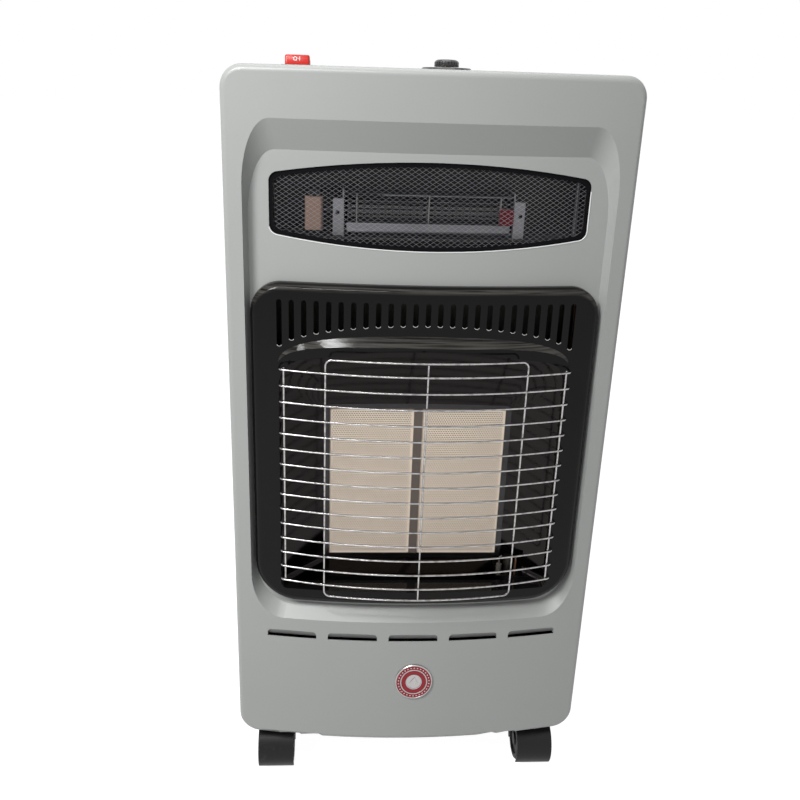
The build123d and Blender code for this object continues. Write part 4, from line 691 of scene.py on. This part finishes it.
def knob():
    """Fluted control knob with a domed top and a pointer ridge."""
    low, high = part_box("control_knob")
    centre = (low + high) / 2
    radius = (high.x - low.x) / 2
    tall = high.z - low.z
    sides, barrel = 72, tall * 0.62
    deselect()
    bpy.ops.mesh.primitive_cylinder_add(
        vertices=sides, radius=radius, depth=barrel, location=(centre.x, centre.y, low.z + barrel / 2)
    )
    cap = bpy.context.object
    settle(cap)
    edit(cap)
    pick_faces(cap, lambda place, normal: normal.z > 0.9)
    for inset, rise in ((0.0012, 0.22), (0.0018, 0.12), (0.004, 0.04)):
        bpy.ops.mesh.inset(thickness=inset)
        bpy.ops.transform.translate(value=(0, 0, tall * rise))

    def in_flute(place, normal):
        """Every third of the upright faces."""
        if abs(normal.z) > 0.3 or place.z > low.z + barrel:
            return False
        turn = math.degrees(math.atan2(place.y - centre.y, place.x - centre.x)) % 360
        return int(turn / (360 / sides)) % 3 == 0

    pick_faces(cap, in_flute)
    bpy.ops.mesh.inset(thickness=0.00018, depth=-0.0007, use_individual=True)
    close_edit()
    soften(cap, 0.00025, 2, 35)
    deselect()
    bpy.ops.mesh.primitive_cube_add(
        size=1, location=(centre.x, centre.y - radius * 0.42, high.z - 0.0006),
        scale=(0.0016, radius * 0.62, 0.0010),
    )
    ridge = bpy.context.object
    settle(ridge)
    apply_modifier(ridge, "BEVEL", width=0.0004, segments=3)
    cap = join([cap, ridge])
    return hand_over(cap, "control_knob_cap", "knob_black", "knob", ("control_knob",))


def turned_disc(place, radius, depth, rings):
    """A disc facing forwards, raised ring by ring: each ring is (inset, rise towards the front)."""
    deselect()
    bpy.ops.mesh.primitive_cylinder_add(
        vertices=ROUND, radius=radius, depth=depth, location=place, rotation=FORWARDS
    )
    disc = bpy.context.object
    settle(disc)
    edit(disc)
    front = place[1] - depth / 2
    pick_faces(disc, lambda centre, normal: abs(centre.y - front) < 1e-5 and abs(normal.y) > 0.9)
    for inset, rise in rings:
        bpy.ops.mesh.inset(thickness=inset)
        bpy.ops.transform.translate(value=(0, -rise, 0))
    close_edit()
    return disc


def annulus(centre, outer, inner, thickness):
    """A flat ring facing forwards."""
    deselect()
    bpy.ops.mesh.primitive_circle_add(vertices=ROUND, radius=inner, location=centre, rotation=FORWARDS)
    ring = bpy.context.object
    settle(ring)
    edit(ring)
    bpy.ops.mesh.select_mode(type="EDGE")
    bpy.ops.mesh.select_all(action="SELECT")
    bpy.ops.mesh.extrude_region_move(TRANSFORM_OT_translate={"value": (0, 0, 0)})
    grow = outer / inner
    bpy.ops.transform.resize(value=(grow, 1, grow), center_override=centre)
    close_edit()
    apply_modifier(ring, "SOLIDIFY", thickness=thickness, offset=0.0)
    edit(ring)
    bpy.ops.mesh.normals_make_consistent(inside=False)
    close_edit()
    return ring


def badge_middle():
    low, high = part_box("badge")
    return Vector(((low.x + high.x) / 2, high.y, (low.z + high.z) / 2))


def stretched(piece):
    """The badge is a little taller than it is wide."""
    edit(piece)
    bpy.ops.transform.resize(value=(0.98, 1, 1.06), center_override=badge_middle())
    close_edit()
    return piece


def badge_plate():
    """Bright plate with three raised rings, the outermost at its rim."""
    place = badge_middle()
    rings = (
        (0.0005, 0.0006), (0.0009, 0.0), (0.0003, -0.0005), (0.0039, 0.0),
        (0.0002, 0.0004), (0.0010, 0.0), (0.0002, -0.0004), (0.0047, 0.0),
        (0.0002, 0.0004), (0.0008, 0.0), (0.0002, -0.0004),
    )
    plate = turned_disc(place - Vector((0, 0.0007, 0)), 0.0209, 0.0014, rings)
    return hand_over(stretched(plate), "badge_plate", "badge_red", "cabinet", ("badge",), 25, "badge_plate")


def badge_resin():
    """Two rings of red resin between the bright rings."""
    place = badge_middle() - Vector((0, 0.00165, 0))
    red = join([annulus(place, 0.01915, 0.01535, 0.0003), annulus(place, 0.01375, 0.00925, 0.0003)])
    return hand_over(stretched(red), "badge_resin", "badge_red", "cabinet", (), 40)


def badge_studs():
    """A ring of small studs on the outer red band, and a flame in the middle."""
    place = badge_middle() - Vector((0, 0.0018, 0))
    count, ring_radius = 30, 0.01725
    deselect()
    bpy.ops.mesh.primitive_cylinder_add(
        vertices=10, radius=0.00085, depth=0.0004, location=place, rotation=FORWARDS
    )
    stud = settle(bpy.context.object)
    apply_modifier(stud, "BEVEL", width=0.00012, segments=2)
    to_middle = Matrix.Translation(-place)
    studs = []
    for index in range(count):
        turn = Matrix.Translation((0, 0, ring_radius)) @ to_middle
        turn = Matrix.Rotation(math.radians(360 / count * index), 4, "Y") @ turn
        studs.append(copy_of(stud, place, turn))
    bpy.data.objects.remove(stud)
    deselect()
    bpy.ops.mesh.primitive_cylinder_add(
        vertices=24, radius=0.0042, depth=0.0006, location=place - Vector((0, 0, 0.0016)), rotation=FORWARDS
    )
    flame = settle(bpy.context.object)
    edit(flame)
    pick_edges(flame, lambda a, b: min(a.z, b.z) > place.z + 0.0014)
    bpy.ops.transform.resize(value=(0.15, 1, 1), center_override=(place.x, place.y, place.z))
    bpy.ops.transform.translate(value=(0.0008, 0, 0.0036))
    close_edit()
    apply_modifier(flame, "BEVEL", width=0.00015, segments=2)
    both = stretched(join(studs + [flame]))
    return hand_over(both, "badge_studs", "badge_red", "cabinet", (), 40, "badge_plate")


def swept(points, radius):
    """A round bead: a point is drawn out along a path, and the path gets a round section."""
    deselect()
    bpy.ops.mesh.primitive_plane_add(size=0.001, location=points[0])
    line = settle(bpy.context.object)
    edit(line)
    bpy.ops.mesh.select_mode(type="VERT")
    bpy.ops.mesh.select_all(action="SELECT")
    bpy.ops.mesh.merge(type="CENTER")
    for first, second in zip(points, points[1:]):
        step = Vector(second) - Vector(first)
        bpy.ops.mesh.extrude_region_move(TRANSFORM_OT_translate={"value": step})
    close_edit()
    bpy.ops.object.convert(target="CURVE")
    line = bpy.context.object
    line.data.bevel_depth = radius
    line.data.bevel_resolution = 2
    line.data.use_fill_caps = True
    bpy.ops.object.convert(target="MESH")
    line = bpy.context.object
    edit(line)
    bpy.ops.mesh.remove_doubles(threshold=0.000001)
    bpy.ops.mesh.normals_make_consistent(inside=False)
    close_edit()
    return line


def on_bow(x, depth):
    """Depth in the frame of a surface that lies a distance behind the panel's bowed face."""
    return BOW_MIDDLE - math.sqrt((BOW_RADIUS - depth) ** 2 - x * x)


def window_lip():
    """Rolled edge of the panel under the fan heater's window and round its right end, with a light finish as
    a painted highlight.
    """
    half, middle, end, corner, level = 0.1491, 0.0403, 0.02735, 0.009, 0.6494
    floor_depth, bead = 0.0131, 0.0006
    round_steps, arc_steps = 7, 28
    radius = (half**2 + (middle - end) ** 2) / (2 * (middle - end))
    corner_x = half - corner
    corner_z = math.sqrt((radius - corner) ** 2 - corner_x**2) + middle - radius
    lean = math.atan2(corner_x, corner_z - middle + radius)
    outline = [(half, corner_z - 0.003)]
    for step in range(round_steps + 1):
        turn = math.pi / 2 - (math.pi / 2 - lean) * step / round_steps
        outline.append((corner_x + corner * math.sin(turn), -corner_z - corner * math.cos(turn)))
    for step in range(arc_steps + 1):
        turn = lean - 2 * lean * step / arc_steps
        outline.append((radius * math.sin(turn), radius - middle - radius * math.cos(turn)))
    for step in range(round_steps):
        turn = lean + (math.pi / 2 - lean) * step / round_steps
        outline.append((-corner_x - corner * math.sin(turn), -corner_z - corner * math.cos(turn)))
    points = [(x, on_bow(x, floor_depth), level + z) for x, z in outline]
    lip = swept(points, bead)
    return hand_over(lip, "window_lip", "panel_grey", "cabinet", (), 60, "window_lip")


def outlet_trim():
    """Folded ledge under the fan heater's outlet and the bright edge over it."""
    front, low, high, reach = -0.1586, 0.6245, 0.6315, 0.0775
    sheet, edge_level, edge_left, edge_radius = 0.0005, 0.6575, -0.045, 0.0004
    deselect()
    bpy.ops.mesh.primitive_cube_add(
        size=1, location=(0, front, (low + high) / 2), scale=(2 * reach, sheet, high - low)
    )
    ledge = settle(bpy.context.object)
    edit(ledge)
    pick_faces(ledge, lambda place, normal: normal.z < -0.9)
    bpy.ops.mesh.extrude_region_move(TRANSFORM_OT_translate={"value": (0, -0.0016, -0.0012)})
    close_edit()
    soften(ledge, 0.00015, 2, 30)
    edge = swept([(x, front, edge_level) for x in (edge_left, 0.02, reach)], edge_radius)
    return hand_over(join([ledge, edge]), "outlet_trim", "plate_grey", "cabinet", (), 40, "outlet_trim")


def slot_lips():
    """Pressed lips under the lower ends of the slots over the opening, in bright metal as a painted glint.
    """
    pitch, half_row, width = 0.0116667, 12, 0.0026
    end_bottom, arch = 0.5085, 0.0325
    deselect()
    bpy.ops.mesh.primitive_torus_add(
        major_segments=24, minor_segments=6, major_radius=width, minor_radius=0.00032, rotation=FORWARDS
    )
    lip = settle(bpy.context.object)
    edit(lip)
    cut = (0, 0, -width * 0.45)
    bpy.ops.mesh.bisect(plane_co=cut, plane_no=(0, 0, 1), clear_outer=True, use_fill=True)
    close_edit()
    lips = []
    for index in range(-half_row, half_row + 1):
        x = index * pitch
        low = end_bottom + arch * math.sqrt(1 - (index / (half_row + 0.5)) ** 2)
        turn = Matrix.Rotation(math.asin(x / BOW_RADIUS), 4, "Z")
        lips.append(copy_of(lip, (x, on_bow(x, 0.0005), low + 0.0025), turn))
    bpy.data.objects.remove(lip)
    return hand_over(join(lips), "slot_lips", "enamel_black", "cabinet", (), 60, "slot_lips")


def tilted(piece):
    """Tilts a piece that was made at the origin and carries it to its place on the switch."""
    low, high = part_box("switch_rocker")
    place = Vector(((low.x + high.x) / 2, SWITCH_DEPTH, SWITCH_LEVEL))
    twin = copy_of(piece, place, Matrix.Rotation(math.radians(ROCKER_TILT), 4, "X"))
    bpy.data.objects.remove(piece)
    return twin


def rocker_cap():
    """Dished rocker with rounded ends, tilted to its off position."""
    wide, deep, tall = 0.022, 0.0268, 0.0107
    deselect()
    bpy.ops.mesh.primitive_cube_add(size=1, location=(0, 0, tall / 2), scale=(wide, deep, tall))
    cap = settle(bpy.context.object)
    edit(cap)
    bpy.ops.mesh.bisect(plane_co=(0, 0, 0), plane_no=(0, 1, 0))
    pick_faces(cap, lambda place, normal: normal.z > 0.9)
    bpy.ops.transform.resize(value=(1, 0.858, 1), center_override=(0, 0, 0))
    pick_edges(cap, lambda a, b: min(a.z, b.z) > 0.010 and max(abs(a.y), abs(b.y)) < 0.001)
    bpy.ops.transform.translate(value=(0, 0, -0.002))
    pick_faces(cap, lambda place, normal: normal.z < -0.9)
    bpy.ops.mesh.extrude_region_move(TRANSFORM_OT_translate={"value": (0, 0, -0.006)})
    bpy.ops.transform.resize(value=(1, 0.80, 1), center_override=(0, 0, 0))
    close_edit()
    soften(cap, 0.0016, 4, 50)
    return hand_over(tilted(cap), "rocker_cap", "switch_red", "rocker", ("switch_rocker",), 40)


def rocker_marks():
    """Ring and bar moulded on the rocker's front."""
    ring_place, bar_place = (-0.0017, -0.0126, 0.0066), (0.0022, -0.0126, 0.0066)
    deselect()
    bpy.ops.mesh.primitive_torus_add(
        major_segments=28, minor_segments=8, major_radius=0.0015, minor_radius=0.00038,
        location=ring_place, rotation=FORWARDS,
    )
    ring = settle(bpy.context.object)
    edit(ring)
    bpy.ops.transform.resize(value=(1, 0.6, 1), center_override=ring_place)
    close_edit()
    deselect()
    bpy.ops.mesh.primitive_cube_add(size=1, location=bar_place, scale=(0.0007, 0.0005, 0.0036))
    bar = settle(bpy.context.object)
    apply_modifier(bar, "BEVEL", width=0.00015, segments=2)
    return hand_over(tilted(join([ring, bar])), "rocker_marks", "switch_red", "rocker", (), 50, "white_mark")


def heating_coils():
    """Resistance wire wound into long coils through the mica cards."""
    low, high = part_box("heating_element")
    length = high.x - low.x
    middle_y = (low.y + high.y) / 2
    coil_radius, wire, pitch, count = 0.00072, 0.00020, 0.0021, 4
    turns = int(length / pitch) - 1
    deselect()
    bpy.ops.mesh.primitive_circle_add(vertices=6, radius=wire, location=(0, 0, 0))
    wire_end = bpy.context.object
    edit(wire_end)
    bpy.ops.transform.translate(value=(0, coil_radius, 0))
    close_edit()
    apply_modifier(
        wire_end, "SCREW", axis="X", screw_offset=pitch, iterations=turns,
        steps=12, render_steps=12, angle=2 * math.pi,
    )
    start = low.x + (length - turns * pitch) / 2
    step = (high.z - low.z - (high.y - low.y)) / (count - 1)
    first = low.z + (high.y - low.y) / 2
    coils = [copy_of(wire_end, (start, middle_y, first + step * index)) for index in range(count)]
    bpy.data.objects.remove(wire_end)
    coils = join(coils)
    edit(coils)
    bpy.ops.mesh.normals_make_consistent(inside=False)
    close_edit()
    return hand_over(coils, "heating_coils", "element_wire", "cabinet", ("heating_element",), 80)


def cross_screws():
    """Screw heads with a cross recess, one at each place that screw_places gives."""
    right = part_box("cabinet_screws")[1].x
    head, rise = 0.004, 0.0018
    deselect()
    bpy.ops.mesh.primitive_cylinder_add(
        vertices=32, radius=head, depth=rise, location=(0, 0, 0), rotation=(0, math.pi / 2, 0)
    )
    screw = bpy.context.object
    settle(screw)
    edit(screw)
    pick_faces(screw, lambda place, normal: normal.x > 0.9)
    bpy.ops.mesh.inset(thickness=0.0009)
    close_edit()
    edit(screw)
    near = 1e-4

    def at_rim(a, b):
        return min(a.x, b.x) > rise / 2 - near / 10 and min(a.yz.length, b.yz.length) > head - near

    pick_edges(screw, at_rim)
    bpy.ops.mesh.bevel(offset=0.0009, segments=4)
    close_edit()
    cuts = []
    for size in ((0.0018, 0.0040, 0.0009), (0.0018, 0.0009, 0.0040)):
        deselect()
        bpy.ops.mesh.primitive_cube_add(size=1, location=(rise / 2, 0, 0), scale=size)
        cuts.append(settle(bpy.context.object))
    for cut in cuts:
        apply_modifier(screw, "BOOLEAN", operation="DIFFERENCE", object=cut, solver="EXACT")
        bpy.data.objects.remove(cut)
    turn_round = Matrix.Rotation(math.pi, 4, "Z")
    copies = []
    for place in screw_places():
        outward = place[0] > 0
        centre = (math.copysign(right - rise / 2, place[0]), place[1], place[2])
        copies.append(copy_of(screw, centre, None if outward else turn_round))
    bpy.data.objects.remove(screw)
    return hand_over(join(copies), "cross_head_screws", "zinc_steel", "cabinet", ("cabinet_screws",), 30)


def screw_places():
    """Places for screw heads, from the outermost corners of the plain screws' mesh.

    The corners are put in groups by rounded steps, and a step ends inside each lower head. So the
    six lower screws give two places each, and their heads overlap: 18 places for 12 screws.
    """
    y_step, z_step = 0.02, 0.05
    part = nodes["cabinet_screws"]
    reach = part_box("cabinet_screws")[1].x - 0.0009
    groups = {}
    for vertex in part.data.vertices:
        if abs(vertex.co.x) > reach:
            key = (vertex.co.x > 0, round(vertex.co.y / y_step), round(vertex.co.z / z_step))
            groups.setdefault(key, []).append(vertex.co.copy())
    places = []
    for corners in groups.values():
        ys = [corner.y for corner in corners]
        zs = [corner.z for corner in corners]
        places.append((corners[0].x, (min(ys) + max(ys)) / 2, (min(zs) + max(zs)) / 2))
    return places


expanded_mesh()
knob()
badge_plate()
badge_resin()
badge_studs()
window_lip()
outlet_trim()
slot_lips()
rocker_cap()
rocker_marks()
heating_coils()
cross_screws()


# ---------------------------------------------------------------- floor, light, camera
def sees_backdrop(tree):
    """1 for the rays that see the floor and the background as plain white."""
    rays = tree.nodes.new("ShaderNodeLightPath")
    seen = math_node(tree, "MAXIMUM", rays.outputs["Is Camera Ray"], rays.outputs["Is Glossy Ray"])
    return math_node(tree, "MAXIMUM", seen, rays.outputs["Is Transmission Ray"])


def add_floor():
    """A wide floor: white to the camera and in reflections, mid grey to light that bounces off it."""
    white_level, grey = 0.96, 0.45
    deselect()
    bpy.ops.mesh.primitive_plane_add(size=60, location=(0, 0, 0))
    floor = bpy.context.object
    floor.name = "studio_floor"
    material, tree, shader = blank("Studio Floor", 0.9)[:3]
    shader.inputs["Base Color"].default_value = (grey, grey, grey, 1)
    shader.inputs["Specular IOR Level"].default_value = 0.0
    out = next(node for node in tree.nodes if node.type == "OUTPUT_MATERIAL")
    white = tree.nodes.new("ShaderNodeEmission")
    tree.links.new(math_node(tree, "MULTIPLY", sees_backdrop(tree), white_level), white.inputs["Strength"])
    both = tree.nodes.new("ShaderNodeAddShader")
    tree.links.new(shader.outputs[0], both.inputs[0])
    tree.links.new(white.outputs[0], both.inputs[1])
    tree.links.new(both.outputs[0], out.inputs["Surface"])
    floor.data.materials.append(material)


def add_world():
    """A white background that lights the pieces only weakly."""
    ambient, backdrop = 0.25, 1.0
    world = bpy.data.worlds.new("studio")
    bpy.context.scene.world = world
    world.use_nodes = True
    tree = world.node_tree
    background = next(node for node in tree.nodes if node.type == "BACKGROUND")
    background.inputs["Color"].default_value = (1, 1, 1, 1)
    level = spread(tree, sees_backdrop(tree), 0.0, 1.0, ambient, backdrop)
    tree.links.new(level, background.inputs["Strength"])


def add_lamp(name, place, target, size, power):
    lamp = bpy.data.lights.new(name, "AREA")
    lamp.shape = "RECTANGLE"
    lamp.size, lamp.size_y = size
    lamp.energy = power
    body = bpy.data.objects.new(name, lamp)
    bpy.context.scene.collection.objects.link(body)
    aim = Vector(target) - Vector(place)
    body.rotation_euler = aim.to_track_quat("-Z", "Y").to_euler()
    body.location = place


def add_camera():
    camera = bpy.data.cameras.new("camera")
    turn_z, tilt, roll = -0.06216, math.pi / 2 - 0.34734, 0.03126
    place = (-0.0872, -0.98118, 0.75279)
    camera.lens = 38.976
    camera.sensor_width = 36.0
    camera.shift_x = 0.01875
    body = bpy.data.objects.new("camera", camera)
    bpy.context.scene.collection.objects.link(body)
    turn = Matrix.Rotation(turn_z, 4, "Z") @ Matrix.Rotation(tilt, 4, "X")
    body.matrix_world = Matrix.Translation(place) @ turn @ Matrix.Rotation(roll, 4, "Z")
    bpy.context.scene.camera = body


add_floor()
add_world()
add_lamp("key_lamp", place=(-1.1, -1.2, 1.6), target=(0, -0.1, 0.45), size=(0.5, 0.5), power=24)
add_lamp("strip_lamp", place=(-0.50, -1.15, 1.81), target=(0, -0.19, 0.55), size=(1.0, 0.06), power=12)
add_lamp("top_lamp", place=(0.0, 0.1, 2.5), target=(0, 0, 0.5), size=(1.2, 1.2), power=12)
add_camera()
bpy.context.scene.view_settings.view_transform = "Standard"
